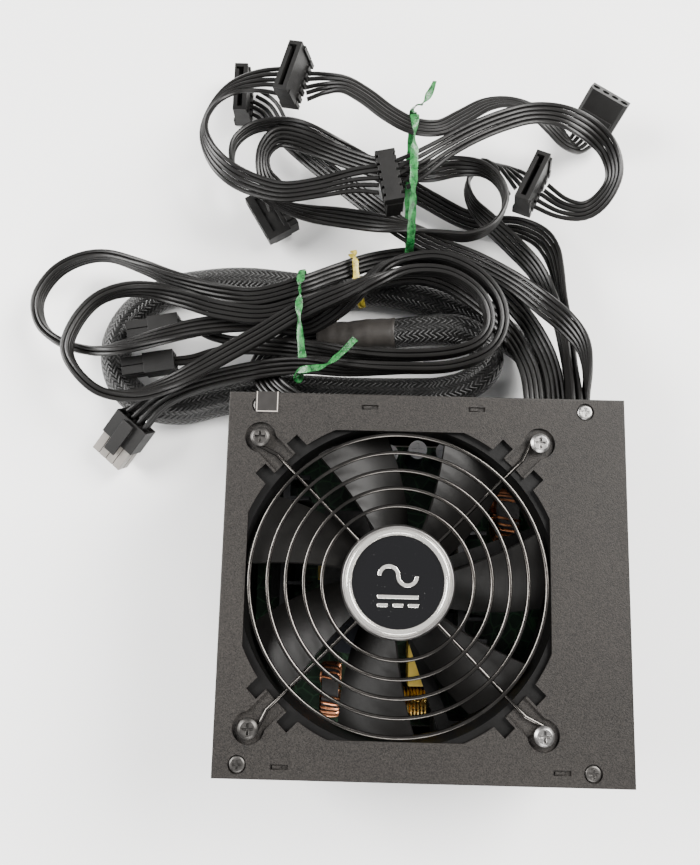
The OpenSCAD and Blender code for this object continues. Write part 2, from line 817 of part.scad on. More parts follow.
ribbon_1_route = [[64, 62, 49, 90], [64.5, 78, 47, 90], [65, 92, 41, 90], [65.5, 106, 33, 85],
  [65, 120, 26, 80], [62, 134, 21, 70], [56, 147, 19, 55], [46, 159, 18, 45], [35, 170, 18, 55],
  [26, 180, 19, 80], [24, 190, 20, 90], [30, 198, 23, 85], [38, 195, 27, 50], [43, 189, 30, 15, 14],
  [47.5, 183, 30.8, 0, 16.5]];

ribbon_2_route = [[56.5, 179, 30.8, 0, 16.5], [66, 173, 31, 5, 13], [76, 171, 32, 15],
  [84, 176, 34, 40], [89, 186, 37, 60], [86, 197, 40, 55], [77, 205, 43, 35], [64, 210, 46, 10],
  [50, 210, 48, 0], [36, 205, 50, 0], [22, 198, 51, 0], [9, 190, 51, 0, 11], [-1, 183, 51, 0, 14],
  [-10, 178, 50, 0, 16.5]];

ribbon_3_route = [[-19, 176, 50, 0, 16.5], [-30, 176, 48, 0, 13], [-46, 174, 44, 0],
  [-62, 173, 41, 0], [-76, 177, 39, 10], [-88, 184, 37, 30], [-97, 194, 36, 55], [-101, 206, 36, 65],
  [-97, 218, 36, 55], [-88, 227, 36, 25], [-76, 231, 36, 5, 13], [-63.5, 231, 36.5, 0, 16.5]];

ribbon_4_route = [[-54.5, 229, 35, 0, 16.5], [-46, 230, 36, 5, 13], [-36, 228, 39, 12],
  [-26, 220, 43, 18], [-15, 209, 47, 20], [-4, 202, 49, 20], [8, 202, 48, 22], [19, 210, 44, 25],
  [30, 218, 41, 30], [41, 222, 37, 35], [52, 221, 33, 30], [62, 216, 28, 20], [71, 212, 21, 10, 10],
  [78, 214, 13, 0, 11], [84, 221, 8.5, 0, 14]];

ribbon_5_route = [[69.8, 62, 46.5, 90], [70.4, 78, 48, 90], [71.5, 90, 48.5, 88], [70, 102, 48, 72],
  [64.5, 112, 45, 45], [55, 123, 40, 20], [43, 135, 34, 0], [27, 146, 29, 0], [10, 154, 26, 0],
  [-5, 162, 25, 0], [-20, 174, 23, 0], [-35, 188, 18, 0], [-48, 201, 12, 0], [-60, 213, 8.5, 0],
  [-69, 224, 6, 0, 12], [-76, 235, 4, 0, 15], [-83.3, 240, 3, 0, 16.5]];

ribbon_6_route = [[67, 62, 49, 90], [67.5, 78, 47, 90], [68, 92, 39, 90], [69, 106, 31, 90],
  [69, 120, 25, 88], [68, 134, 20, 80], [67, 147, 17, 70], [65, 158, 14, 50], [60, 167, 11, 25],
  [50, 173, 8, 5], [38, 174, 7, 0], [24, 177, 7, 0], [8, 185, 8, 0], [-10, 195, 9, 0],
  [-28, 204, 12, 0], [-44, 210, 17, 25], [-57, 215, 21, 60], [-68, 217, 22, 85], [-80, 214, 23, 90],
  [-88, 206, 24, 90], [-89, 196, 25, 90], [-85, 187, 26, 85], [-76, 179, 26, 70], [-64, 173, 26, 45],
  [-50, 169, 27, 20], [-36, 167, 28, 5], [-20, 164, 30, 10], [-4, 160, 34, 45], [10, 156, 37, 80],
  [22, 155, 37, 90], [33, 160, 37, 90], [39, 171, 37, 90], [37, 181, 37, 90], [29, 188, 37, 80],
  [17, 190, 35, 50], [4, 189, 32, 15], [-8, 190, 30, 0], [-20, 193, 27, 0], [-32, 198, 24, 0],
  [-45, 204, 22, 5], [-58, 209, 22, 25], [-68, 210, 22, 50], [-74, 203, 22, 65], [-74, 194, 21, 50],
  [-70, 186, 19, 20, 13], [-65.5, 179, 14.8, 0, 16.5]];

tie_lower_route = [[-51, 96, 40, 0], [-52, 104, 41, 0], [-53, 116, 43.5, 0], [-53, 127, 42, 0],
  [-53, 136, 37, 0], [-53, 139.5, 31, 0], [-53, 137, 25, 0], [-53, 130, 19, 0], [-53, 124, 12, 0],
  [-53, 119, 4, 0], [-53, 111, 2, 0], [-53, 103, 4, 0], [-53, 99, 11, 0], [-53, 94, 20, 0],
  [-53, 89, 27, 0], [-54, 88.5, 35, 0], [-53, 90, 39.5, 0], [-48, 90.5, 42, 10], [-41, 92, 42.5, 20],
  [-34, 97.5, 43, 20], [-28, 104, 44, 0]];

tie_upper_route = [[-4, 203, 57, 0], [-4, 197, 57.5, 0], [-4, 190, 56, 0], [-4, 182, 55, 0],
  [-4, 170, 53, 0], [-4, 158, 44, 0], [-4, 151, 36, 0], [-4, 150, 28, 0], [-4, 152.5, 23.6, 0],
  [-4, 160, 22.4, 0], [-4, 172, 19, 0], [-4, 186, 19, 0],
  [-4, 198, 26, 0], [-4, 208.5, 38, 0], [-4, 211, 47, 0], [-3, 209, 54, 0], [-1, 207, 59, 0],
  [2, 210, 62.5, 0], [4, 215, 63.5, 0]];

tie_yellow_route = [[-30, 152, 25, 0], [-29, 147, 28, 0], [-28, 137, 27.6, 0], [-26, 129, 27, 0],
  [-25, 125.5, 23, 0], [-26, 128, 18.5, 0], [-28, 138, 17, 0], [-30, 147, 17.5, 0], [-31, 152, 21, 0]];

module fan_lead() {
  color(dark) round_cable(round_route(fan_lead_route, fan_lead_diameter), 2, 8);
}

module main_cable() {
  color(black) round_cable(round_route(main_route, braid_diameter), 2, 12);
}

module main_heatshrink() {
  color(black) round_cable(round_route(heatshrink_route, braid_diameter - 0.6), 1, 12);
}

module main_wires() {
  color(black) flat_cable(main_wires_route, 3, 6);
}

module graphics_cable() {
  color(black) flat_cable(flat_route(graphics_route, power_width), 2, power_depth);
}

module processor_cable() {
  color(black) flat_cable(flat_route(processor_route, power_width), 2, power_depth);
}

module processor_leads() {
  color(black)
    for (r = processor_leads_routes) flat_cable(flat_route(r, power_width / 2), 2, power_depth);
}

module drive_ribbon(route) {
  color(black) flat_cable(flat_route(route, ribbon_width), 2, wire_diameter);
}

module drive_ribbon_1() { drive_ribbon(ribbon_1_route); }
module drive_ribbon_2() { drive_ribbon(ribbon_2_route); }
module drive_ribbon_3() { drive_ribbon(ribbon_3_route); }
module drive_ribbon_4() { drive_ribbon(ribbon_4_route); }
module drive_ribbon_5() { drive_ribbon(ribbon_5_route); }
module drive_ribbon_6() { drive_ribbon(ribbon_6_route); }

// ---- connectors -----------------------------------------------------------
// place is [position, rotation, spin about the mating axis]
module seated(place) {
  translate(place[0]) rotate(place[1]) rotate([0, 0, place[2]]) children();
}

// drive plug: long axis X, mating direction +Z, wires cross along Y below z = 0
plug_long = 25;
plug_thick = 6.6;
plug_tall = 12;
cap_thick = 9;
cap_tall = 4.6;
drive_places = [
  [[-59, 230, 38], [-14, 0, 74], 0],
  [[-88, 240, 4.8], [0, 0, 90], 0],
  [[-67, 178, 10], [90, 0, -59], 0],
  [[-14.5, 177, 47.7], [180, 0, -78], 0],
  [[52, 181, 33], [-10, 0, 65], 0]];

module drive_plug() {
  difference() {
    union() {
      translate([-plug_long / 2, -plug_thick / 2, 0]) cube([plug_long, plug_thick, plug_tall]);
      for (s = [-1, 1])
        translate([s * (plug_long / 2 - 1) - 1, -plug_thick / 2 - 0.9, 0]) cube([2, 1, plug_tall - 3]);
    }
    translate([-10.6, -1.2, plug_tall - 8]) cube([21.2, 2.4, 9]);
    translate([9.4, -1.2, plug_tall - 8]) cube([1.2, 3.6, 9]);
    translate([-9.6, 1.9, 2]) cube([19.2, 2, 6]);
  }
}

module drive_plug_cap() {
  difference() {
    translate([-plug_long / 2 + 0.5, -cap_thick / 2, -cap_tall]) cube([plug_long - 1, cap_thick, cap_tall]);
    for (i = [-2.5 : 1 : 2.5], s = [-1, 1])
      translate([i * 3.7 - 0.6, s > 0 ? cap_thick / 2 - 1.2 : -cap_thick / 2 - 1, -cap_tall - 1])
        cube([1.2, 2.2, cap_tall + 2]);
  }
}

module drive_plugs() {
  color(black) for (p = drive_places) seated(p) drive_plug();
}

module drive_plug_caps() {
  color(dark) for (p = drive_places) seated(p) drive_plug_cap();
}

// power connector: columns along X, two rows along Y, mating direction +Z, wires enter at z = 0
module power_connector(columns, rear, front, latch) {
  wide = columns * 4.2 + 1.2;
  difference() {
    translate([-wide / 2, -4.8, 0]) cube([wide, 9.6, rear]);
    for (i = [0 : columns - 1], j = [-1, 1])
      translate([(i - (columns - 1) / 2) * 4.2, j * 2.2, 0]) translate([-1.6, -1.6, -1]) cube([3.2, 3.2, 7]);
  }
  for (i = [0 : columns - 1], j = [-1, 1])
    translate([(i - (columns - 1) / 2) * 4.2, j * 2.3, rear - eps])
      difference() {
        translate([-1.95, -1.95, 0]) cube([3.9, 3.9, front]);
        translate([-1, -1, 1]) cube([2, 2, front]);
      }
  translate([-latch / 2, 4.8 - eps, rear - 9]) cube([latch, 1.2, 3]);
  translate([-latch / 2, 5.9, rear - 12]) cube([latch, 1, 17]);
}

power_places = [[[-110, 115.5, 20.6], [90, 0, -80], 180], [[-111, 98, 20.6], [90, 0, -80], 180]];
graphics_place = [[-128, 70.5, 16.5], [112, 0, -40], 0];
main_place = [[-36, 75.8, 22.1], [180, 0, 0], 0];

module processor_connectors() {
  color(black) for (p = power_places) seated(p) power_connector(2, 14, 10, 4);
}

module graphics_connector() {
  color(black) seated(graphics_place) power_connector(4, 13, 10, 6);
}

module main_connector() {
  color(black)
    seated(main_place)
      difference() {
        translate([-25.8, -4.8, 0]) cube([51.6, 9.6, 21]);
        for (i = [0 : 11], j = [-1, 1])
          translate([(i - 5.5) * 4.2, j * 2.3, 11]) translate([-1.2, -1.2, 0]) cube([2.4, 2.4, 12]);
      }
}

module molex_plug() {
  color(black)
    seated([[84.6, 221.6, 8.8], [-40, 0, -32], 0])
      difference() {
        union() {
          translate([-10.2, -5, 0]) cube([20.4, 10, 22]);
          translate([-8, -6, 4]) cube([16, 12, 8]);
        }
        for (i = [-1.5 : 1 : 1.5]) translate([i * 5.08, 0, 6]) cylinder(r = 1.8, h = 20);
        translate([-9, -4, -1]) cube([18, 8, 4]);
        for (s = [-1, 1])
          translate([s * 10.2, -5, 11]) rotate([0, 0, 45]) cube([2.4, 2.4, 24], center = true);
      }
}

module tie_band(route) {
  flat_cable(flat_route(route, 3.6), 2, 0.9);
}

module tie_lower() {
  color([0.2, 0.6, 0.35]) tie_band(tie_lower_route);
}

module tie_upper() {
  color([0.2, 0.6, 0.35]) tie_band(tie_upper_route);
}

module tie_yellow() {
  color([0.75, 0.7, 0.3]) tie_band(tie_yellow_route);
}

// ---- assembly --------------------------------------------------------------
base_shell();
fan_cover();
cover_screws();
seal_label();
fan_frame();
fan_rotor();
fan_magnet();
fan_bearing();
fan_stator();
fan_board();
fan_screws();
fan_guard();
badge_bezel();
badge_ring();
badge_disc();
badge_motif();
inlet_housing();
inlet_pins();
switch_frame();
switch_rocker();
cable_grommet();
insulating_sheet();
circuit_board();
board_screws();
heatsink_primary();
heatsink_secondary();
power_transistors();
transformer_core();
transformer_coil();
bulk_capacitor();
output_capacitors();
output_toroid();
output_winding();
filter_core();
filter_winding();
filter_capacitors();
gold_choke();
fan_lead();
main_cable();
main_heatshrink();
main_wires();
main_connector();
processor_cable();
processor_leads();
processor_connectors();
graphics_cable();
graphics_connector();
drive_ribbon_1();
drive_ribbon_2();
drive_ribbon_3();
drive_ribbon_4();
drive_ribbon_5();
drive_ribbon_6();
drive_plugs();
drive_plug_caps();
molex_plug();
tie_lower();
tie_upper();
tie_yellow();
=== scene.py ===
"""A desktop computer power supply unit with its bundled output cables. Metres, in the part's own frame."""

import math
import random

import bmesh
import bpy
from mathutils import Euler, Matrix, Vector


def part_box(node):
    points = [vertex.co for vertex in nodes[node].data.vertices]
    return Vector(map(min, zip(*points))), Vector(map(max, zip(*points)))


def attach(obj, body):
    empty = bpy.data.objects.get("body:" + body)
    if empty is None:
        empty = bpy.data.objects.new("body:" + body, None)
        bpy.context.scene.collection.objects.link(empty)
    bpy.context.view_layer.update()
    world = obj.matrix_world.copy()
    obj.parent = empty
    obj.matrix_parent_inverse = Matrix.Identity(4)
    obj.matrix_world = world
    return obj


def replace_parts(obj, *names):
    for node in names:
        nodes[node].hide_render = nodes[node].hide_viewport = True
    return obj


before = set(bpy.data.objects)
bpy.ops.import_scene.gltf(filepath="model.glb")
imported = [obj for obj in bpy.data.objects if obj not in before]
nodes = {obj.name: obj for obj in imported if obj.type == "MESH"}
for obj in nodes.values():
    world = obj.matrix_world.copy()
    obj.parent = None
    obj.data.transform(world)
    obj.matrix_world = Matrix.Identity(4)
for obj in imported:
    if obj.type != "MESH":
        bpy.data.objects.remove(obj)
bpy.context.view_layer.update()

# ---- camera ----
# A standard lens held about 0.3 m above the cover, a little to the left of its middle.
# It looks down and leans towards the back, where the bundled cables lie.
camera_data = bpy.data.cameras.new("overhead_camera")
camera_data.sensor_width = 36
camera_data.sensor_fit = "HORIZONTAL"
camera_data.lens = 43.71
camera_data.clip_start = 0.01
camera = bpy.data.objects.new("overhead_camera", camera_data)
camera.location = (-0.0260, 0.0003, 0.4019)
camera.rotation_euler = Euler([math.radians(a) for a in (9.85, 0.27, 1.41)])
bpy.context.scene.collection.objects.link(camera)
bpy.context.scene.camera = camera


# ---- flat multi-wire output cables ----
# Each is a row of round stranded wires in soft vinyl, bonded side by side into a flat lead.
# The two power leads carry two rows. The wires part a little where they fan out into a plug.
MM = 0.001
WIRE = 2.1 * MM
RIBBON_WIDTH = 5 * WIRE
POWER_WIDTH = 4 * WIRE


class Value:
    """A number socket with arithmetic: each operation adds the Math node that does it."""

    def __init__(self, look, socket):
        self.look = look
        self.socket = socket

    def math(self, operation, *others):
        values = {0: self.socket}
        for i, other in enumerate(others):
            values[i + 1] = other.socket if isinstance(other, Value) else other
        return self.look.node("ShaderNodeMath", {"operation": operation}, values)

    def __add__(self, other):
        return self.math("ADD", other)

    __radd__ = __add__

    def __sub__(self, other):
        return self.math("SUBTRACT", other)

    def __rsub__(self, other):
        return self.look.node("ShaderNodeMath", {"operation": "SUBTRACT"}, {0: other, 1: self.socket})

    def __mul__(self, other):
        return self.math("MULTIPLY", other)

    def __truediv__(self, other):
        return self.math("DIVIDE", other)

    def step(self, edge, width):
        """0 below edge, 1 above it, with a ramp of the given width."""
        return ((self - edge) / width + 0.5).math("MINIMUM", 1.0).math("MAXIMUM", 0.0)


class Look:
    """A procedural material with one Principled shader."""

    def __init__(self, name, **constants):
        self.material = bpy.data.materials.new(name)
        self.material.use_nodes = True
        self.tree = self.material.node_tree
        self.shader = self.tree.nodes["Principled BSDF"]
        for socket, value in constants.items():
            self.shader.inputs[socket.replace("_", " ")].default_value = value

    def node(self, kind, settings=None, values=None, output=0):
        made = self.tree.nodes.new(kind)
        for key, value in (settings or {}).items():
            setattr(made, key, value)
        for key, value in (values or {}).items():
            if isinstance(value, Value):
                value = value.socket
            if isinstance(value, bpy.types.NodeSocket):
                self.tree.links.new(value, made.inputs[key])
            else:
                made.inputs[key].default_value = value
        return Value(self, made.outputs[output])

    def place(self, scale=(1, 1, 1)):
        point = self.node("ShaderNodeTexCoord", output="Object")
        return self.node("ShaderNodeMapping", None, {"Vector": point, "Scale": scale})

    def along(self):
        return self.node("ShaderNodeUVMap", {"uv_map": "along"})

    def noise(self, scale, detail=3.0, vector=None, roughness=0.5):
        return self.node("ShaderNodeTexNoise", None, {
            "Vector": vector or self.place(), "Scale": scale, "Detail": detail, "Roughness": roughness})

    def mixed(self, factor, dark, light):
        return self.node("ShaderNodeMix", {"data_type": "RGBA"}, {
            0: factor, 6: (*dark, 1), 7: (*light, 1)}, output=2)

    def feed(self, socket, value):
        self.tree.links.new(value.socket, self.shader.inputs[socket])

    def bump(self, height, distance):
        return self.node("ShaderNodeBump", None, {"Height": height, "Distance": distance, "Strength": 1.0})


def place_piece(name, bm, look, body="casing", smooth=35):
    """Makes the finished bmesh an object of that look (or list of looks) that rides on that body.

    Edges sharper than smooth degrees stay hard. The weighted normals keep a broad flat face flat
    right up to its rounded edges.
    """
    bmesh.ops.recalc_face_normals(bm, faces=bm.faces)
    mesh = bpy.data.meshes.new(name)
    bm.to_mesh(mesh)
    bm.free()
    piece = bpy.data.objects.new(name, mesh)
    bpy.context.scene.collection.objects.link(piece)
    for one in look if isinstance(look, list) else [look]:
        mesh.materials.append(one.material)
    mesh.shade_smooth()
    mesh.set_sharp_from_angle(angle=math.radians(smooth))
    weighted = piece.modifiers.new("flat_faces", "WEIGHTED_NORMAL")
    weighted.keep_sharp = True
    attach(piece, body)
    return piece


def ease(a, b, c, d, t):
    """The Catmull-Rom curve from b at t = 0 to c at t = 1."""
    square = (2 * a - 5 * b + 4 * c - d) * t ** 2
    cube = (3 * b - a - 3 * c + d) * t ** 3
    return 0.5 * (2 * b + (c - a) * t + square + cube)


def smooth_route(points, ring_gap=2.4):
    """Points [x, y, z, turn, width] in mm, joined by a smooth curve with a ring about every ring_gap mm."""
    def pick(i):
        return points[max(0, min(len(points) - 1, i))]

    rings = []
    for i in range(len(points) - 1):
        a, b, c, d = pick(i - 1), pick(i), pick(i + 1), pick(i + 2)
        steps = max(2, round(math.dist(b[:3], c[:3]) / ring_gap))
        for k in range(steps):
            rings.append([ease(*quad, k / steps) for quad in zip(a, b, c, d)])
    rings.append(list(map(float, points[-1])))
    return rings


def route_frames(rings):
    """(centre, width axis, thickness axis, width) of each ring, in metres."""
    frames = []
    for i, ring in enumerate(rings):
        before = Vector(rings[max(0, i - 1)][:3])
        after = Vector(rings[min(len(rings) - 1, i + 1)][:3])
        heading = (after - before).normalized()
        side = heading.cross(Vector((0, 0, 1))).normalized()
        up = side.cross(heading)
        turn = math.radians(ring[3])
        wide = side * math.cos(turn) + up * math.sin(turn)
        thick = up * math.cos(turn) - side * math.sin(turn)
        frames.append((Vector(ring[:3]) * MM, wide, thick, ring[4] * MM))
    return frames


def add_tube(bm, centres, wides, thicks, radius, sides):
    """Rolls a grid into a closed tube round the line of centres. The UV map "along" follows it."""
    grid = bmesh.ops.create_grid(bm, x_segments=sides, y_segments=len(centres) - 1, size=1, calc_uvs=True)
    for vert in grid["verts"]:
        angle = math.pi * (vert.co.x + 1)
        row = round((vert.co.y + 1) / 2 * (len(centres) - 1))
        r = radius(row) if callable(radius) else radius
        vert.co = centres[row] + wides[row] * (r * math.cos(angle)) + thicks[row] * (r * math.sin(angle))
    bmesh.ops.remove_doubles(bm, verts=grid["verts"], dist=1e-6)
    rims = [e for e in bm.edges if e.is_boundary]
    bmesh.ops.holes_fill(bm, edges=rims, sides=0)


def wire_row(bm, frames, columns, rows, seed):
    """The wires of one flat lead, tight side by side. A single row lifts apart where it widens."""
    chance = random.Random(seed)
    tight = columns * WIRE
    for column in range(columns):
        for row in range(rows):
            phase = chance.uniform(0, math.tau)
            lift = chance.uniform(-1, 1)
            swing = chance.uniform(0.05, 0.14) * MM
            centres = []
            for k, (centre, wide, thick, width) in enumerate(frames):
                spread = max(0.0, width / tight - 1)
                across = (column - (columns - 1) / 2) * width / columns
                height = (row - (rows - 1) / 2) * WIRE * (1 + 0.5 * spread)
                wander = swing * math.sin(k * 0.13 + phase)
                height += wander + lift * min(spread, 0.6) * 2.2 * MM * (rows == 1)
                centres.append(centre + wide * across + thick * height)
            add_tube(bm, centres, [f[1] for f in frames], [f[2] for f in frames], WIRE * 0.495, 8)


def flat_route(points, width):
    """The points with the lead's own width, where a point gives no other."""
    return [[*p[:4], p[4] if len(p) > 4 else width / MM] for p in points]


vinyl = Look("wire_vinyl", Roughness=0.42, Specular_IOR_Level=0.28)
vinyl_shade = vinyl.noise(38, 2)
vinyl.feed("Base Color", vinyl.mixed(vinyl_shade, (0.0030, 0.0028, 0.0027), (0.008, 0.0075, 0.007)))
vinyl.feed("Roughness", 0.28 + vinyl.noise(90, 3) * 0.16)
vinyl.feed("Normal", vinyl.bump(vinyl.noise(700, 2), 0.00006))

# Each route is a list of points [x, y, z, turn about the run, width where it isn't the lead's own], in mm.
graphics_route = [
    [60, 62, 40, 0], [60, 76, 40, 0], [59, 92, 37, 0], [56, 106, 32, 10], [49, 121, 27, 10],
    [38, 135, 23, 10], [20, 147, 20, 0], [0, 152, 19, 0], [-20, 149, 20, 0], [-37, 141, 25, 0],
    [-52, 132, 33, 0], [-72, 126, 33, 5], [-90, 128, 31, 30], [-112, 135, 27, 55], [-129, 143, 22, 75],
    [-146, 149, 19, 88], [-160, 148, 17, 90], [-172, 141, 16, 90], [-179, 128, 16, 90],
    [-176, 115, 17, 90], [-165, 106, 20, 88], [-148, 101, 25, 72], [-131, 102, 31, 45],
    [-114, 107, 32, 25], [-98, 112, 30, 10], [-80, 115, 28, 0], [-66, 114.5, 28, 0], [-52, 113.5, 28, 0],
    [-43, 117, 30, 5], [-34, 123, 32, 20], [-24, 133, 32, 42], [-15, 141, 35, 65], [-2, 144, 38, 85],
    [12, 143.5, 39, 90], [27, 136, 39, 90], [36, 124, 39, 90], [37, 111, 39, 90], [30, 100, 39, 90],
    [14, 94, 38, 90], [-8, 93, 37, 88], [-30, 93, 35, 65], [-52, 95, 31, 30], [-76, 92, 28, 5],
    [-100, 86, 26, 0], [-117, 79, 22, 0, 11], [-128, 70.5, 16.5, 0, 15.5]]

processor_route = [
    [51, 62, 40, 0], [50.5, 76, 40, 0], [49.5, 91, 37, 0], [46.5, 103, 32, 10], [40, 116, 27, 10],
    [31, 127, 23, 10], [16, 138, 20, 0], [0, 142.5, 19, 0], [-17, 139.5, 20, 0], [-33, 132, 25, 0],
    [-52, 122.5, 33, 0], [-70, 117, 34, 0], [-90, 119, 34, 10], [-106, 124, 33, 30], [-121, 128, 32, 60],
    [-134, 128, 32, 80], [-146, 123, 32, 90], [-154, 112, 33, 90], [-157, 99, 34, 90],
    [-151, 88, 34, 90], [-140, 80, 33, 80], [-125, 79, 33, 60], [-111, 84, 33, 35], [-98, 91, 34, 15],
    [-84, 99, 36, 0], [-70, 107, 37.5, 0], [-57, 115, 39, 0], [-45, 121, 40.5, 0],
    [-33, 125.5, 42.5, 15], [-20, 131, 43, 50], [-5, 137, 40, 82], [11, 137, 39, 90], [23, 131, 39, 90],
    [30, 122, 39, 90], [31, 112, 39, 90], [25, 104, 39, 90], [12, 100, 38, 90], [-8, 99, 36, 88],
    [-30, 100, 33, 70], [-50, 103, 29, 45], [-70, 105, 25, 20], [-86, 106, 22, 0]]

processor_lead_routes = [
    [[-86, 108.2, 22, 0], [-94, 110, 21.5, 0], [-102, 113.5, 21, 0], [-110, 115.5, 20.5, 0]],
    [[-86, 103.9, 22, 0], [-94, 102, 21.5, 0], [-103, 99, 21, 0], [-111, 98, 20.5, 0]]]

ribbon_routes = [
    [[64, 62, 49, 90], [64.5, 78, 47, 90], [65, 92, 41, 90], [65.5, 106, 33, 85], [65, 120, 26, 80],
     [62, 134, 21, 70], [56, 147, 19, 55], [46, 159, 18, 45], [35, 170, 18, 55], [26, 180, 19, 80],
     [24, 190, 20, 90], [30, 198, 23, 85], [38, 195, 27, 50], [43, 189, 30, 15, 14],
     [47.5, 183, 30.8, 0, 16.5]],
    [[56.5, 179, 30.8, 0, 16.5], [66, 173, 31, 5, 13], [76, 171, 32, 15], [84, 176, 34, 40],
     [89, 186, 37, 60], [86, 197, 40, 55], [77, 205, 43, 35], [64, 210, 46, 10], [50, 210, 48, 0],
     [36, 205, 50, 0], [22, 198, 51, 0], [9, 190, 51, 0, 11], [-1, 183, 51, 0, 14],
     [-10, 178, 50, 0, 16.5]],
    [[-19, 176, 50, 0, 16.5], [-30, 176, 48, 0, 13], [-46, 174, 44, 0], [-62, 173, 41, 0],
     [-76, 177, 39, 10], [-88, 184, 37, 30], [-97, 194, 36, 55], [-101, 206, 36, 65], [-97, 218, 36, 55],
     [-88, 227, 36, 25], [-76, 231, 36, 5, 13], [-63.5, 231, 36.5, 0, 16.5]],
    [[-54.5, 229, 35, 0, 16.5], [-46, 230, 36, 5, 13], [-36, 228, 39, 12], [-26, 220, 43, 18],
     [-15, 209, 47, 20], [-4, 202, 49, 20], [8, 202, 48, 22], [19, 210, 44, 25], [30, 218, 41, 30],
     [41, 222, 37, 35], [52, 221, 33, 30], [62, 216, 28, 20], [71, 212, 21, 10, 10],
     [78, 214, 13, 0, 11], [84, 221, 8.5, 0, 14]],
    [[69.8, 62, 46.5, 90], [70.4, 78, 48, 90], [71.5, 90, 48.5, 88], [70, 102, 48, 72],
     [64.5, 112, 45, 45], [55, 123, 40, 20], [43, 135, 34, 0], [27, 146, 29, 0], [10, 154, 26, 0],
     [-5, 162, 25, 0], [-20, 174, 23, 0], [-35, 188, 18, 0], [-48, 201, 12, 0], [-60, 213, 8.5, 0],
     [-69, 224, 6, 0, 12], [-76, 235, 4, 0, 15], [-83.3, 240, 3, 0, 16.5]],
    [[67, 62, 49, 90], [67.5, 78, 47, 90], [68, 92, 39, 90], [69, 106, 31, 90], [69, 120, 25, 88],
     [68, 134, 20, 80], [67, 147, 17, 70], [65, 158, 14, 50], [60, 167, 11, 25], [50, 173, 8, 5],
     [38, 174, 7, 0], [24, 177, 7, 0], [8, 185, 8, 0], [-10, 195, 9, 0], [-28, 204, 12, 0],
     [-44, 210, 17, 25], [-57, 215, 21, 60], [-68, 217, 22, 85], [-80, 214, 23, 90], [-88, 206, 24, 90],
     [-89, 196, 25, 90], [-85, 187, 26, 85], [-76, 179, 26, 70], [-64, 173, 26, 45], [-50, 169, 27, 20],
     [-36, 167, 28, 5], [-20, 164, 30, 10], [-4, 160, 34, 45], [10, 156, 37, 80], [22, 155, 37, 90],
     [33, 160, 37, 90], [39, 171, 37, 90], [37, 181, 37, 90], [29, 188, 37, 80], [17, 190, 35, 50],
     [4, 189, 32, 15], [-8, 190, 30, 0], [-20, 193, 27, 0], [-32, 198, 24, 0], [-45, 204, 22, 5],
     [-58, 209, 22, 25], [-68, 210, 22, 50], [-74, 203, 22, 65], [-74, 194, 21, 50],
     [-70, 186, 19, 20, 13], [-65.5, 179, 14.8, 0, 16.5]]]


def flat_lead(name, node, points, width, columns, rows, seed):
    rings = smooth_route(flat_route(points, width))
    frames = route_frames(rings)
    bm = bmesh.new()
    bm.loops.layers.uv.new("along")
    wire_row(bm, frames, columns, rows, seed)
    lead = place_piece(name, bm, vinyl)
    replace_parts(lead, node)
    return lead, [f[0] for f in frames]


graphics_lead, graphics_path = flat_lead(
    "graphics_lead", "graphics_cable", graphics_route, POWER_WIDTH, 4, 2, 11)
processor_lead, processor_path = flat_lead(
    "processor_lead", "processor_cable", processor_route, POWER_WIDTH, 4, 2, 12)
processor_ends = []
for i, points in enumerate(processor_lead_routes):
    frames = route_frames(smooth_route(flat_route(points, POWER_WIDTH / 2)))
    bm = bmesh.new()
    bm.loops.layers.uv.new("along")
    wire_row(bm, frames, 2, 2, 20 + i)
    processor_ends.append(place_piece(f"processor_lead_end_{i + 1}", bm, vinyl))
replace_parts(processor_ends[0], "processor_leads")
ribbons = [
    flat_lead(f"drive_ribbon_{i + 1}_wires", f"drive_ribbon_{i + 1}", points, RIBBON_WIDTH, 5, 1, 30 + i)
    for i, points in enumerate(ribbon_routes)]

# ---- drive plugs ----
# Flat black nylon housings clipped across a ribbon, with a finned cap pressed on behind them.
# The mating slot has a key at one end, and the wires pass straight through at right angles to it.


def merged(node, pick=None):
    """A merged copy of a CAD node, or of the one solid of it nearest to a point."""
    bm = bmesh.new()
    bm.from_mesh(nodes[node].data)
    bmesh.ops.remove_doubles(bm, verts=bm.verts, dist=2e-6)
    if pick:
        keep = nearest_solid(bm, Vector(pick))
        bmesh.ops.delete(bm, geom=[v for v in bm.verts if v not in keep], context="VERTS")
    bmesh.ops.dissolve_limit(bm, angle_limit=math.radians(1), verts=bm.verts, edges=bm.edges)
    return bm


def nearest_solid(bm, point):
    """The vertices of the separate solid whose middle is nearest to the point."""
    best, found = None, None
    left = set(bm.verts)
    while left:
        solid = {left.pop()}
        reached = list(solid)
        while reached:
            for e in reached.pop().link_edges:
                for v in e.verts:
                    if v in left:
                        left.discard(v)
                        solid.add(v)
                        reached.append(v)
        centre = sum((v.co for v in solid), Vector()) / len(solid)
        gap = (centre - point).length
        if best is None or gap < best:
            best, found = gap, solid
    return found


def round_off(bm, edges, width, segments):
    bmesh.ops.bevel(bm, geom=edges, offset=width, offset_type="OFFSET", segments=segments, profile=0.5,
                    affect="EDGES", clamp_overlap=True, material=-1)


def softened(node, width, segments=2, pick=None, angle=30):
    """A merged copy with every edge sharper than the angle rounded off."""
    bm = merged(node, pick)
    sharp = [e for e in bm.edges if e.is_manifold and e.calc_face_angle(0) > math.radians(angle)]
    round_off(bm, sharp, width, segments)
    return bm


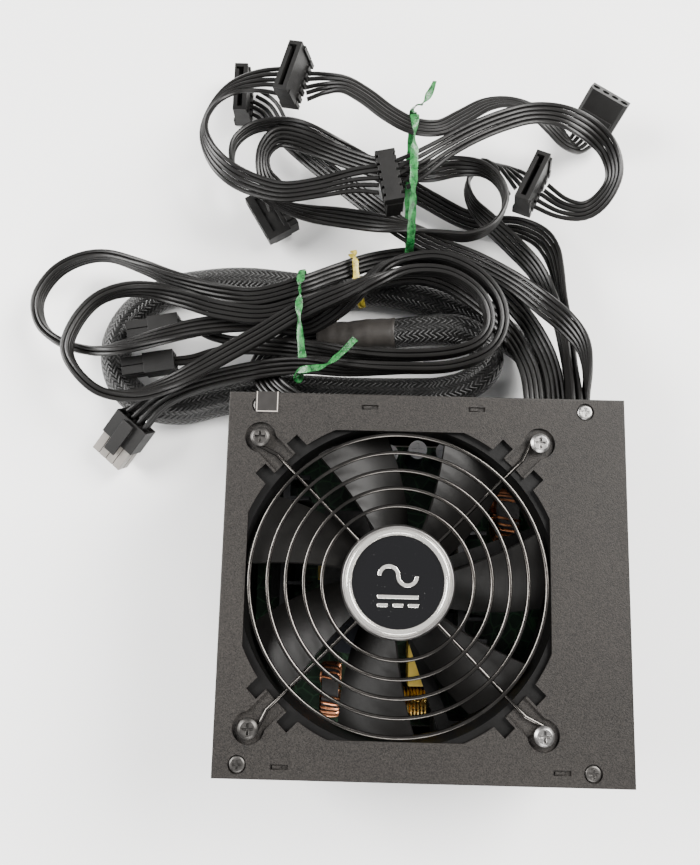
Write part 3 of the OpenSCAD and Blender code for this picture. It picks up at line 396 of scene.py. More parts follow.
plug_nylon = Look("plug_nylon", Roughness=0.4, Specular_IOR_Level=0.22)
plug_grain = plug_nylon.noise(260, 4)
plug_shade = plug_nylon.noise(60, 2)
plug_nylon.feed("Base Color", plug_nylon.mixed(plug_shade, (0.003, 0.003, 0.003), (0.009, 0.0085, 0.008)))
plug_nylon.feed("Roughness", 0.36 + plug_grain * 0.22)
plug_nylon.feed("Normal", plug_nylon.bump(plug_nylon.noise(1500, 3), 0.00005))

# A point in mm near the middle of each plug, which picks it out of its CAD node.
drive_places = {"s1": (-59, 230, 38), "s2": (-88, 240, 4.8), "s3": (-67, 178, 10), "s4": (-14.5, 177, 47.7),
                "s5": (52, 181, 33)}
drive_pieces = {}
for name, spot in drive_places.items():
    point = Vector(spot) * MM
    drive_pieces[name] = [
        place_piece(f"drive_plug_{name}", softened("drive_plugs", 0.3 * MM, pick=point),
                    plug_nylon),
        place_piece(f"drive_plug_cap_{name}", softened("drive_plug_caps", 0.25 * MM, pick=point),
                    plug_nylon)]
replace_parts(drive_pieces["s1"][0], "drive_plugs")
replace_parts(drive_pieces["s1"][1], "drive_plug_caps")

# ---- four-pole drive power plug ----
# A loose black nylon shell with four round cavities, and two ribs that guide it into its socket.
four_pole_shell = place_piece("molex_shell", softened("molex_plug", 0.2 * MM), plug_nylon)
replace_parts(four_pole_shell, "molex_plug")

# ---- processor and graphics power plugs ----
# Square-celled black nylon housings with a springy latch along one side.
# The graphics plug's stepped mating cells are of undyed grey nylon.
grey_nylon = Look("grey_nylon", Roughness=0.45)
grey_shade = grey_nylon.noise(120, 3)
grey_nylon.feed("Base Color", grey_nylon.mixed(grey_shade, (0.12, 0.110, 0.098), (0.20, 0.185, 0.168)))
grey_nylon.feed("Normal", grey_nylon.bump(grey_nylon.noise(1500, 3), 0.00005))

processor_plug = place_piece("processor_plug_pair", softened("processor_connectors", 0.15 * MM),
                             plug_nylon)
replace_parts(processor_plug, "processor_connectors")

graphics_out = Vector((-0.596, -0.710, -0.375))
graphics_start = Vector((-0.128, 0.0705, 0.0165))
BLACK_DEPTH = 13.2 * MM  # from the wire end to where the grey cells begin
bm = softened("graphics_connector", 0.25 * MM)
for face in bm.faces:
    depth = (face.calc_center_median() - graphics_start).dot(graphics_out)
    face.material_index = int(depth > BLACK_DEPTH)
graphics_plug = place_piece("graphics_plug", bm, [plug_nylon, grey_nylon])
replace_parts(graphics_plug, "graphics_connector")

# ---- sleeved main cable ----
# Two dozen wires inside an expanding sleeve braided from black polyester monofilament.
# A heat-shrunk collar grips the end of the sleeve, and the bare wires go on to the main plug.
SLEEVE = 15 * MM
main_route = [
    [57, 60, 28], [58, 70, 27], [62, 84, 24], [60, 98, 18], [51, 111, 11], [38, 121, 8], [22, 128, 8],
    [5, 134, 8], [-15, 138, 8], [-35, 138, 8], [-55, 139, 8], [-80, 141, 8], [-100, 140, 8],
    [-118, 136, 8], [-133, 126, 8], [-141, 113, 8], [-142, 100, 8], [-137, 88, 8], [-126, 80, 8],
    [-108, 78, 8], [-88, 83, 8], [-60, 88, 8], [-30, 88, 8], [0, 88, 8], [14, 89, 9], [27, 93, 12],
    [34, 101, 16], [30.5, 110, 19], [20.5, 115.5, 20], [8, 116, 19.5], [-9, 115, 16]]
collar_route = [[-9, 115, 16], [-20, 115, 14], [-33, 114, 12], [-46, 114, 11]]
loose_route = [
    [-46, 114, 11, 0, 12], [-56, 112.5, 10, 10, 12], [-66, 105, 12, 20, 12], [-71, 97, 18, 10, 12],
    [-67, 88, 23, 0, 12], [-59, 81, 26, 0, 11], [-48, 76.5, 26, 0, 9.6], [-30, 75.8, 25.5, 0, 9.4],
    [-12, 75.8, 25.2, 0, 9]]


def round_frames(points, ring_gap=2.0):
    return route_frames(smooth_route([[*p, 0, 1] for p in points], ring_gap))


sleeve = Look("braided_sleeve", Roughness=0.36, Specular_IOR_Level=0.4)
sleeve_axes = sleeve.node("ShaderNodeSeparateXYZ", None, {"Vector": sleeve.along()}).socket.node
around = Value(sleeve, sleeve_axes.outputs["X"])
lengthwise = Value(sleeve, sleeve_axes.outputs["Y"])
STRANDS = 22
STRAND_TURNS = 527 / 15 / math.pi / 1.15  # over the whole 527 mm: a turn takes 1.15 times the way round
wave_right = around * STRANDS + lengthwise * (STRAND_TURNS * STRANDS)
wave_left = around * STRANDS - lengthwise * (STRAND_TURNS * STRANDS)


def strand(wave):
    """A rounded ridge across each strand: 0 in the gap, 1 on the crown."""
    across = (wave.math("FRACT") - 0.5).math("ABSOLUTE") * 2
    return (1 - across * across).math("SQRT")


right_ridge = strand(wave_right)
left_ridge = strand(wave_left)
over = ((wave_right.math("FLOOR") + wave_left.math("FLOOR")) * 0.25).math("FRACT").math("GREATER_THAN", 0.45)
top = over * right_ridge + (1 - over) * left_ridge
strand_shade = sleeve.noise(400, 2)
threads = (around * (STRANDS * 3)).math("FRACT").math("SUBTRACT", 0.5).math("ABSOLUTE") * 0.16
# The base colour is lighter on each strand's crown and near black in the gaps between strands: a painted
# highlight on the crowns and painted shade in the gaps.
sleeve.feed("Base Color", sleeve.mixed(top * (0.5 + strand_shade * 0.8),
                                       (0.0006, 0.0006, 0.0006), (0.009, 0.0087, 0.0084)))
sleeve.feed("Roughness", 0.62 - top * 0.28)
sleeve.feed("Normal", sleeve.bump(top + threads, 0.0006))


def swell(row):
    """The sleeve's radius at a ring: it bulges and necks a little along its run."""
    return 0.5 * SLEEVE * (0.965 + 0.022 * math.sin(row * 0.21) + 0.012 * math.sin(row * 0.083 + 1))


sleeve_frames = round_frames(main_route)
bm = bmesh.new()
bm.loops.layers.uv.new("along")
add_tube(bm, *zip(*[f[:3] for f in sleeve_frames]), swell, 36)
sleeve_piece = place_piece("main_sleeve", bm, sleeve)
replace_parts(sleeve_piece, "main_cable")

shrink = Look("heat_shrink", Roughness=0.5, Specular_IOR_Level=0.3)
shrink_scuff = shrink.noise(140, 5, roughness=0.7)
shrink.feed("Base Color", shrink.mixed(shrink_scuff, (0.012, 0.011, 0.010), (0.045, 0.040, 0.036)))
shrink.feed("Roughness", 0.38 + shrink_scuff * 0.3)
shrink.feed("Normal", shrink.bump(shrink.noise(220, 4), 0.0003))
collar_frames = round_frames(collar_route, 1.2)
collar_last = len(collar_frames) - 1


def collar_radius(row):
    """The collar shrinks unevenly over the sleeve, and its two cut ends draw in."""
    lip = 0.25 * MM if row in (0, collar_last) else 0
    return 7.2 * MM - lip + 0.12 * MM * math.sin(row * 1.3) + 0.1 * MM * math.cos(row * 0.5)


bm = bmesh.new()
bm.loops.layers.uv.new("along")
add_tube(bm, *zip(*[f[:3] for f in collar_frames]), collar_radius, 40)
collar_piece = place_piece("main_heat_shrink", bm, shrink)
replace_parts(collar_piece, "main_heatshrink")

loose_frames = route_frames(smooth_route(loose_route))
bm = bmesh.new()
bm.loops.layers.uv.new("along")
LOOSE_COLUMNS = 6
LOOSE_ROWS = 4
THIN_WIRE = 1.7 * MM
chance = random.Random(7)
for column in range(LOOSE_COLUMNS):
    for row in range(LOOSE_ROWS):
        phase = chance.uniform(0, math.tau)
        centres = []
        for k, (centre, wide, thick, width) in enumerate(loose_frames):
            gather = min(1.0, k / 6)
            across = (column - (LOOSE_COLUMNS - 1) / 2) * (width / LOOSE_COLUMNS) * (0.85 + 0.15 * gather)
            across += 0.25 * MM * math.sin(k * 0.21 + phase)
            height = (row - (LOOSE_ROWS - 1) / 2) * 1.55 * MM + 0.2 * MM * math.cos(k * 0.17 + phase)
            centres.append(centre + wide * across + thick * height)
        add_tube(bm, centres, [f[1] for f in loose_frames], [f[2] for f in loose_frames], THIN_WIRE / 2, 8)
loose_piece = place_piece("main_loose_wires", bm, vinyl)
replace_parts(loose_piece, "main_wires")

main_plug = place_piece("main_plug", softened("main_connector", 0.3 * MM), plug_nylon)
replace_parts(main_plug, "main_connector")
bm = bmesh.new()
bm.loops.layers.uv.new("along")
PLUG_X = -36
PLUG_Y = 75.8
PIN_PITCH = 4.2
PIN_COLUMNS = 12
for column in range(PIN_COLUMNS):
    for side in (-1, 1):
        x = PLUG_X + (column - (PIN_COLUMNS - 1) / 2) * PIN_PITCH
        y = PLUG_Y + side * 2.3
        start = [[-62, 81, 26.6 + side], [-52, 77, 27.2 + side], [x - 9, 76 + side * 1.5, 27.4 + side]]
        end = [[x - 3, y, 26.6 + side], [x - 0.6, y, 24.6], [x + 0.2, y, 21.5]]
        lead_in = [p for p in start if p[0] < x - 6]
        if len(lead_in) < 2:
            lead_in = [[x - 9, 78, 26.8 + side]]
        add_tube(bm, *zip(*[f[:3] for f in round_frames(lead_in + end, 1.6)]), THIN_WIRE / 2, 8)
fan_out = place_piece("main_plug_wires", bm, vinyl)

# ---- foil ties ----
# Strips of glossy green foil film, crumpled round a bundle and twisted shut, and one yellow scrap.
# They are folded by hand, so each strip rolls and creases along its run.
tie_routes = {
    "tie_lower": [[-51, 96, 40, 0], [-52, 104, 41, 0], [-53, 116, 43.5, 0], [-53, 127, 42, 0],
                  [-53, 136, 37, 0], [-53, 139.5, 31, 0], [-53, 137, 25, 0], [-53, 130, 19, 0],
                  [-53, 124, 12, 0], [-53, 119, 4, 0], [-53, 111, 2, 0], [-53, 103, 4, 0],
                  [-53, 99, 11, 0], [-53, 94, 20, 0], [-53, 89, 27, 0], [-54, 88.5, 35, 0],
                  [-53, 90, 39.5, 0], [-48, 90.5, 42, 10], [-41, 92, 42.5, 20], [-34, 97.5, 43, 20],
                  [-28, 104, 44, 0]],
    "tie_upper": [[-4, 203, 57, 0], [-4, 197, 57.5, 0], [-4, 190, 56, 0], [-4, 182, 55, 0],
                  [-4, 170, 53, 0], [-4, 158, 44, 0], [-4, 151, 36, 0], [-4, 150, 28, 0],
                  [-4, 152.5, 23.6, 0], [-4, 160, 22.4, 0], [-4, 172, 19, 0], [-4, 186, 19, 0],
                  [-4, 198, 26, 0], [-4, 208.5, 38, 0], [-4, 211, 47, 0], [-3, 209, 54, 0],
                  [-1, 207, 59, 0], [2, 210, 62.5, 0], [4, 215, 63.5, 0]],
    "tie_yellow": [[-30, 152, 25, 0], [-29, 147, 28, 0], [-28, 137, 27.6, 0], [-26, 129, 27, 0],
                   [-25, 125.5, 23, 0], [-26, 128, 18.5, 0], [-28, 138, 17, 0], [-30, 147, 17.5, 0],
                   [-31, 152, 21, 0]]}
# Where along each strip it is twisted, as a part of its length, and by how many degrees.
tie_twists = {"tie_lower": [(0.1, 40), (0.18, 150), (0.8, 70), (0.9, 35)],
              "tie_upper": [(0.06, 60), (0.2, 25), (0.93, 70), (1.0, 20)],
              "tie_yellow": [(0.08, 60), (0.95, 60)]}


def foil_look(name, dark, light):
    look = Look(name, Roughness=0.2, Specular_IOR_Level=0.35, Coat_Weight=0.15)
    creases = look.noise(420, 4, roughness=0.6)
    # The colour follows the crease bumps, lighter on the crests and darker in the folds: painted highlight
    # and painted shade on the crumples.
    look.feed("Base Color", look.mixed(creases.step(0.5, 0.35), dark, light))
    look.feed("Roughness", 0.16 + creases * 0.25)
    look.feed("Normal", look.bump(creases, 0.0006))
    return look


def foil_tie(name, look, width=3.8):
    """A flat strip along its route that rolls and crumples, and narrows to a cord at each twist."""
    rings = smooth_route([[*p, 3.6] for p in tie_routes[name]], 1.0)
    last = len(rings) - 1
    for k, ring in enumerate(rings):
        crush = 0.3 * math.sin(k * 0.9) + 0.22 * math.sin(k * 0.37 + 1.7)
        ring[3] += 14 * math.sin(k * 0.16)
        squeeze = 1.0
        for place, turn in tie_twists[name]:
            near = math.exp(-((k / last - place) / 0.02) ** 2)
            ring[3] += turn * near
            squeeze -= 0.45 * near
        ring[4] = width * max(0.35, squeeze) * (0.86 + 0.2 * crush)
    centres, wides, thicks = [], [], []
    for centre, wide, thick, span in route_frames(rings):
        centres.append(centre)
        wides.append(wide * (span / 2))
        thicks.append(thick * 0.22 * MM)
    bm = bmesh.new()
    bm.loops.layers.uv.new("along")
    add_tube(bm, centres, wides, thicks, 1.0, 8)
    tie = place_piece(name + "_foil", bm, look)
    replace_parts(tie, name)


green_foil = foil_look("green_foil", (0.002, 0.030, 0.006), (0.020, 0.17, 0.040))
yellow_foil = foil_look("yellow_foil", (0.12, 0.085, 0.005), (0.50, 0.40, 0.05))
foil_tie("tie_lower", green_foil)
foil_tie("tie_upper", green_foil, 4.2)
foil_tie("tie_yellow", yellow_foil, 3.4)

# ---- casing ----
# A folded steel lower shell with the two end panels, and a folded steel cover over the top and sides.
# Both are powder coated in a fine dark texture after punching. The cover sits in dimples under four screws.
powder = Look("powder_coat", Roughness=0.5, Specular_IOR_Level=0.2)
powder_grain = powder.noise(2400, 2, roughness=0.6)
powder_cloud = powder.noise(14, 3)
powder.feed("Base Color", powder.mixed((powder_grain - 0.32) * 2.2 + (powder_cloud - 0.5) * 0.4,
                                       (0.004, 0.0035, 0.0031), (0.029, 0.0255, 0.0225)))
powder.feed("Roughness", 0.42 + powder_grain * 0.22)
powder.feed("Normal", powder.bump(powder_grain, 0.00016))


def dress(look, *names):
    """Gives a look to CAD nodes that keep their own shape."""
    for name in names:
        nodes[name].data.materials.clear()
        nodes[name].data.materials.append(look.material)


dress(powder, "base_shell")

fan_low, fan_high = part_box("fan_frame")
FAN_CENTRE = (fan_low + fan_high) / 2
cover_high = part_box("fan_cover")[1]
NEAR = 1e-5


def is_outer_bend(edge):
    return all(abs(abs(v.co.x) - cover_high.x) < NEAR and abs(v.co.z - cover_high.z) < NEAR
               for v in edge.verts)


def is_ear_rim(edge):
    """Whether the edge is where the top face dips into one of the four screw ears on the diagonals."""
    for v in edge.verts:
        reach = Vector((abs(v.co.x - FAN_CENTRE.x), abs(v.co.y)))
        along = (reach.x + reach.y) / math.sqrt(2)
        aside = abs(reach.x - reach.y) / math.sqrt(2)
        if abs(v.co.z - cover_high.z) > NEAR or along < 62 * MM or aside > 5.9 * MM:
            return False
        if along < 70 * MM and aside > 4.75 * MM:
            return False
    return True


# The bend's rounding has to stay under the 0.8 mm sheet, or the end faces fold over themselves.
bm = merged("fan_cover")
round_off(bm, [e for e in bm.edges if is_outer_bend(e)], 0.65 * MM, 4)
round_off(bm, [e for e in bm.edges if is_ear_rim(e) and e.calc_face_angle(0) > 0.5], 0.45 * MM, 3)
top_cover = place_piece("top_cover", bm, powder)
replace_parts(top_cover, "fan_cover")

# ---- case screws ----
# Small pan-head cross-recess machine screws of zinc-plated steel, four in the cover and four in the fan.
# Three are bright: the cover's at the back right and the fan's two on the right. The rest are darker.
bright_zinc = Look("bright_zinc", Metallic=1.0, Roughness=0.3)
zinc_grain = bright_zinc.noise(900, 3)
bright_zinc.feed("Base Color", bright_zinc.mixed(zinc_grain, (0.16, 0.155, 0.15), (0.36, 0.35, 0.34)))
bright_zinc.feed("Roughness", 0.22 + zinc_grain * 0.25)
# A darker, rougher copy of the bright zinc.
darker_zinc = Look("darker_zinc", Metallic=1.0, Roughness=0.42)
darker_zinc_grain = darker_zinc.noise(700, 3)
darker_zinc.feed("Base Color", darker_zinc.mixed(darker_zinc_grain, (0.035, 0.033, 0.031), (0.11, 0.105, 0.10)))
darker_zinc.feed("Roughness", 0.32 + darker_zinc_grain * 0.25)


def screw_piece(name, node, spot, look):
    point = Vector((spot[0] * MM, spot[1] * MM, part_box(node)[1].z - 2 * MM))
    return place_piece(name, softened(node, 0.14 * MM, pick=point), look)


cover_spots = {"back_right": (60, 65), "front_right": (60, -65), "front_left": (-66, -65),
               "back_left": (-63, 65)}
cover_screws = [screw_piece("cover_screw_" + name, "cover_screws", spot,
                            bright_zinc if name == "back_right" else darker_zinc)
                for name, spot in cover_spots.items()]
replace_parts(cover_screws[0], "cover_screws")

fan_spots = {"back_left": (-62.5, 52.5), "back_right": (42.5, 52.5), "front_left": (-62.5, -52.5),
             "front_right": (42.5, -52.5)}
fan_screws = [screw_piece("fan_screw_" + name, "fan_screws", spot,
                          bright_zinc if "right" in name else darker_zinc)
              for name, spot in fan_spots.items()]
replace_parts(fan_screws[0], "fan_screws")

# ---- seal label ----
# A thin plastic film seal stuck over the back left cover screw and down over the edge.
# It is dark like the casing, and plain but for a fine pale border.
seal = Look("seal_film", Roughness=0.35)
label_low, label_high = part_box("seal_label")
seal_point = seal.node("ShaderNodeTexCoord", output="Object")
seal_axes = seal.node("ShaderNodeSeparateXYZ", None, {"Vector": seal_point}).socket.node
seal_x = Value(seal, seal_axes.outputs["X"])
seal_y = Value(seal, seal_axes.outputs["Y"])
seal_mid = (label_low.x + label_high.x) / 2
seal_half = (label_high.x - label_low.x) / 2
side_gap = (seal_half - (seal_x - seal_mid).math("ABSOLUTE")) / MM
front_gap = (seal_y - label_low.y) / MM
edge_gap = side_gap.math("MINIMUM", front_gap)
border = edge_gap.step(0.45, 0.1) * (1 - edge_gap.step(0.72, 0.1))
seal.feed("Base Color", seal.mixed(border, (0.012, 0.0105, 0.0095), (0.42, 0.38, 0.34)))
seal.feed("Roughness", 0.3 + seal.noise(300, 3) * 0.2)
dress(seal, "seal_label")

# ---- finger guard ----
# Five steel wire rings welded on top of four arms, whose ends curl into eyelets under the fan screws.
# A pressed disc in the middle carries the badge. All of it is plated in one dark, shiny metal.
guard_zinc = Look("guard_zinc", Metallic=1.0, Roughness=0.2)
guard_shade = guard_zinc.noise(120, 4)
guard_zinc.feed("Base Color", guard_zinc.mixed(guard_shade, (0.040, 0.037, 0.034), (0.095, 0.089, 0.083)))
guard_zinc.feed("Roughness", 0.16 + guard_shade * 0.14)
guard_wires = place_piece("guard_wires", softened("fan_guard", 0.02 * MM, 1, angle=60), guard_zinc,
                          smooth=50)
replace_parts(guard_wires, "fan_guard")

# ---- badge ----
# A satin aluminium bezel, a polished chrome ring inside it, and a gloss black disc.
# The disc carries a small raised sign for alternating and direct current in chrome.
satin_metal = Look("satin_metal", Metallic=1.0, Roughness=0.35)
satin_shade = satin_metal.noise(500, 3)
satin_metal.feed("Base Color", satin_metal.mixed(satin_shade, (0.20, 0.19, 0.185), (0.32, 0.31, 0.30)))
satin_metal.feed("Roughness", 0.3 + satin_shade * 0.15)
chrome = Look("badge_chrome", Metallic=0.85, Roughness=0.12)
chrome_shade = chrome.noise(300, 3)
chrome.feed("Base Color", chrome.mixed(chrome_shade, (0.86, 0.83, 0.77), (0.96, 0.94, 0.89)))
chrome.feed("Roughness", 0.1 + chrome_shade * 0.12)
gloss_black = Look("badge_gloss", Roughness=0.08, Specular_IOR_Level=0.3, Coat_Weight=0.2)
dust = gloss_black.noise(1400, 2).step(0.76, 0.04)
gloss_black.feed("Base Color", gloss_black.mixed(dust, (0.004, 0.004, 0.0045), (0.10, 0.10, 0.10)))
gloss_black.feed("Roughness", 0.06 + dust * 0.4)
for node, name, look, slot, width in (
        ("badge_bezel", "badge_bezel_metal", satin_metal, "bezel_grey", 0.25),
        ("badge_ring", "badge_ring_metal", chrome, "badge_chrome", 0.12),
        ("badge_motif", "badge_motif_metal", chrome, "badge_chrome", 0.18),
        ("badge_disc", "badge_gloss_disc", gloss_black, "badge_black", 0.1)):
    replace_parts(place_piece(name, softened(node, width * MM), look), node)

# ---- fan ----
# One moulded frame with four struts to the motor, and a rotor with seven broad blades on a deep hub.
# The hub hides a ring magnet that turns round the wound stator on a bronze bearing.
moulded = Look("fan_moulding", Roughness=0.45, Specular_IOR_Level=0.15)
mould_grain = moulded.noise(900, 3)
mould_shade = moulded.noise(30, 2)
moulded.feed("Base Color", moulded.mixed(mould_shade, (0.0025, 0.0025, 0.0025), (0.006, 0.0057, 0.0055)))
moulded.feed("Roughness", 0.4 + mould_grain * 0.15)
moulded.feed("Normal", moulded.bump(mould_grain, 0.00006))
dress(moulded, "fan_frame")

blade_look = Look("fan_blades", Roughness=0.3, Specular_IOR_Level=0.18)
flow_marks = blade_look.noise(60, 4, blade_look.place((1, 1, 4)))
blade_look.feed("Base Color", blade_look.mixed(flow_marks, (0.003, 0.0028, 0.0026), (0.008, 0.0075, 0.007)))
blade_look.feed("Roughness", 0.32 + flow_marks * 0.16)
blade_look.feed("Normal", blade_look.bump(blade_look.noise(500, 3), 0.00005))

BLADES = 7
HUB = 20 * MM
TIP = 56.3 * MM
ROOT_SPAN = (-24, 13.5)
TIP_SPAN = (-8, 20.5)
ROOT_RISE = 14.5 * MM
TIP_RISE = 11.0 * MM
BLADE_THICK = 1.5 * MM
BLADE_MIDDLE = fan_low.z + 14.6 * MM


def lerp(a, b, t):
    return a + (b - a) * t


bm = bmesh.new()
for blade in range(BLADES):
    grid = bmesh.ops.create_grid(bm, x_segments=14, y_segments=16, size=1)
    for vert in grid["verts"]:
        chord = (vert.co.x + 1) / 2
        reach = (vert.co.y + 1) / 2
        low_edge = lerp(ROOT_SPAN[0], TIP_SPAN[0], reach ** 0.8)
        high_edge = lerp(ROOT_SPAN[1], TIP_SPAN[1], reach)
        angle = math.radians(lerp(low_edge, high_edge, chord) + 360 * blade / BLADES)
        radius = lerp(HUB - 0.6 * MM, TIP, reach)
        rise = lerp(ROOT_RISE, TIP_RISE, reach)
        camber = math.sin(math.pi * chord) * 1.7 * MM
        height = BLADE_MIDDLE + rise * (chord - 0.5) + camber
        vert.co = (FAN_CENTRE.x + radius * math.cos(angle), radius * math.sin(angle), height)
bmesh.ops.recalc_face_normals(bm, faces=bm.faces)
bmesh.ops.solidify(bm, geom=bm.faces[:], thickness=-BLADE_THICK)
blade_set = place_piece("fan_blade_set", bm, blade_look, "rotor", smooth=40)

bm = bmesh.new()
hub_profile = [(0.0, 23.0), (16.6, 23.0), (18.4, 22.5), (19.6, 21.4), (20.0, 19.8), (20.0, 4.5), (18.4, 4.5),
               (18.4, 21.4), (1.5, 21.4), (1.5, 2.4), (0.0, 2.4)]
ring = [bm.verts.new((FAN_CENTRE.x + r * MM, 0, fan_low.z + z * MM)) for r, z in hub_profile]
for a, b in zip(ring, ring[1:]):
    bm.edges.new((a, b))
bmesh.ops.spin(bm, geom=bm.edges[:], cent=(FAN_CENTRE.x, 0, 0), axis=(0, 0, 1), angle=math.tau, steps=72,
               use_merge=True)
bmesh.ops.remove_doubles(bm, verts=bm.verts, dist=1e-6)
place_piece("fan_hub", bm, blade_look, "rotor")
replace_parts(blade_set, "fan_rotor")

ferrite = Look("ferrite", Roughness=0.7)
ferrite.feed("Base Color", ferrite.mixed(ferrite.noise(400, 4), (0.012, 0.012, 0.012), (0.035, 0.034, 0.033)))
ferrite.feed("Normal", ferrite.bump(ferrite.noise(900, 3), 0.0001))
dress(ferrite, "fan_magnet")
bronze = Look("sintered_bronze", Metallic=1.0, Roughness=0.45)
bronze.feed("Base Color", bronze.mixed(bronze.noise(900, 3), (0.32, 0.21, 0.10), (0.50, 0.36, 0.19)))
dress(bronze, "fan_bearing")
enamel = Look("enamelled_copper", Metallic=1.0, Roughness=0.28)
enamel.feed("Base Color", enamel.mixed(enamel.noise(300, 3), (0.42, 0.14, 0.06), (0.75, 0.34, 0.18)))
enamel.feed("Roughness", 0.2 + enamel.noise(500, 2) * 0.2)
dress(enamel, "fan_stator")

# ---- mains inlet ----
# A black three-pole appliance inlet pushed through the end panel, with flat nickel-plated pins.
# Its housing is glass-filled nylon, moulded with a deep socket.
inlet_shell = place_piece("inlet_shell", softened("inlet_housing", 0.35 * MM), plug_nylon)
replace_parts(inlet_shell, "inlet_housing")
plating = Look("nickel_plating", Metallic=1.0, Roughness=0.3)
plating_grain = plating.noise(700, 3)
plating.feed("Base Color", plating.mixed(plating_grain, (0.42, 0.41, 0.39), (0.66, 0.65, 0.62)))
plating.feed("Roughness", 0.2 + plating_grain * 0.25)
inlet_prongs = place_piece("inlet_prongs", softened("inlet_pins", 0.4 * MM), plating)
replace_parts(inlet_prongs, "inlet_pins")

# ---- power switch ----
# A two-position rocker in a snap-in bezel, both moulded in black nylon.
# The rocker carries the usual on and off signs, pad printed in white.
switch_bezel = place_piece("switch_bezel", softened("switch_frame", 0.3 * MM), plug_nylon)
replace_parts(switch_bezel, "switch_frame")
rocker_look = Look("switch_rocker", Roughness=0.3)
rocker_low, rocker_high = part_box("switch_rocker")
rocker_middle = (rocker_low + rocker_high) / 2
rocker_axes = rocker_look.node("ShaderNodeSeparateXYZ", None, {
    "Vector": rocker_look.node("ShaderNodeTexCoord", output="Object")}).socket.node
sign_x = (Value(rocker_look, rocker_axes.outputs["X"]) - rocker_middle.x) / MM
sign_z = (Value(rocker_look, rocker_axes.outputs["Z"]) - rocker_middle.z) / MM
off_ring = (sign_x * sign_x + (sign_z + 3.6) * (sign_z + 3.6)).math("SQRT")
off_sign = off_ring.step(1.15, 0.1) * (1 - off_ring.step(1.6, 0.1))
on_sign = (1 - sign_x.math("ABSOLUTE").step(0.25, 0.1)) * (1 - (sign_z - 3.8).math("ABSOLUTE").step(1.5, 0.1))
signs = (off_sign + on_sign).math("MINIMUM", 1.0)
rocker_look.feed("Base Color", rocker_look.mixed(signs, (0.016, 0.016, 0.016), (0.72, 0.72, 0.70)))
rocker_look.feed("Roughness", 0.25 + rocker_look.noise(500, 3) * 0.15)
rocker_cap = place_piece("rocker_cap", softened("switch_rocker", 0.3 * MM), rocker_look,
                         body="rocker")
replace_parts(rocker_cap, "switch_rocker")

# ---- cable grommet ----
# A soft black plastic bushing that snaps into the cable hole in the end panel.
# It lines the hole and keeps the edge of the sheet off the wires.
grommet_ring = place_piece("grommet_ring", softened("cable_grommet", 0.3 * MM), plug_nylon)
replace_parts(grommet_ring, "cable_grommet")

# ---- circuit board and insulating film ----
# A single-sided phenolic board, varnished green, on four screws over a milky film cut from sheet.
# Small solder pads and tracks show as paler patches on it.
board_varnish = Look("board_varnish", Roughness=0.4)
board_cells = board_varnish.node("ShaderNodeTexVoronoi", {"feature": "DISTANCE_TO_EDGE"}, {
    "Vector": board_varnish.place(), "Scale": 160.0})
tracks = 1 - board_cells.step(0.05, 0.03)
board_varnish.feed("Base Color", board_varnish.mixed(tracks, (0.006, 0.022, 0.010), (0.020, 0.060, 0.028)))
board_varnish.feed("Roughness", 0.3 + board_varnish.noise(200, 3) * 0.25)
dress(board_varnish, "circuit_board", "fan_board")
film = Look("insulating_film", Roughness=0.35)
film.feed("Base Color", film.mixed(film.noise(30, 2), (0.50, 0.50, 0.46), (0.62, 0.62, 0.58)))
dress(film, "insulating_sheet")
board_screw_set = place_piece("board_screw_set", softened("board_screws", 0.1 * MM), darker_zinc)
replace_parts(board_screw_set, "board_screws")

# ---- heatsinks and power transistors ----
# Two finned aluminium extrusions, anodised black, with moulded power packages screwed to their faces.
# The package legs are tinned copper.
anodised = Look("black_anodising", Metallic=0.7, Roughness=0.45)
anodised_lines = anodised.noise(300, 3, anodised.place((1, 0.05, 1)))
anodised.feed("Base Color", anodised.mixed(anodised_lines, (0.020, 0.020, 0.021), (0.050, 0.050, 0.052)))
anodised.feed("Roughness", 0.36 + anodised_lines * 0.2)
for node in ("heatsink_primary", "heatsink_secondary"):
    fins = place_piece(node + "_fins", softened(node, 0.2 * MM), anodised)
    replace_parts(fins, node)
board_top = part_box("circuit_board")[1].z
epoxy = Look("moulded_epoxy", Roughness=0.6)
epoxy.feed("Base Color", epoxy.mixed(epoxy.noise(500, 3), (0.014, 0.014, 0.015), (0.034, 0.034, 0.035)))
bm = softened("power_transistors", 0.2 * MM)
for face in bm.faces:
    face.material_index = int(face.calc_center_median().z < board_top + 7.9 * MM)
packages = place_piece("power_packages", bm, [epoxy, plating])
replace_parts(packages, "power_transistors")

# ---- transformer ----
# A ferrite core round a bobbin wound with copper and wrapped in yellow polyester tape.
# The bobbin's end flanges stand on the board.
dress(ferrite, "transformer_core")
tape = Look("polyester_tape", Roughness=0.35)
tape_laps = tape.noise(60, 4, tape.place((1, 1, 12)))
tape.feed("Base Color", tape.mixed(tape_laps, (0.42, 0.28, 0.03), (0.70, 0.52, 0.09)))
tape.feed("Roughness", 0.25 + tape_laps * 0.2)
tape.feed("Normal", tape.bump(tape_laps, 0.0004))
coil_wrap = place_piece("transformer_wrap", softened("transformer_coil", 0.8 * MM, 3), tape)
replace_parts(coil_wrap, "transformer_coil")
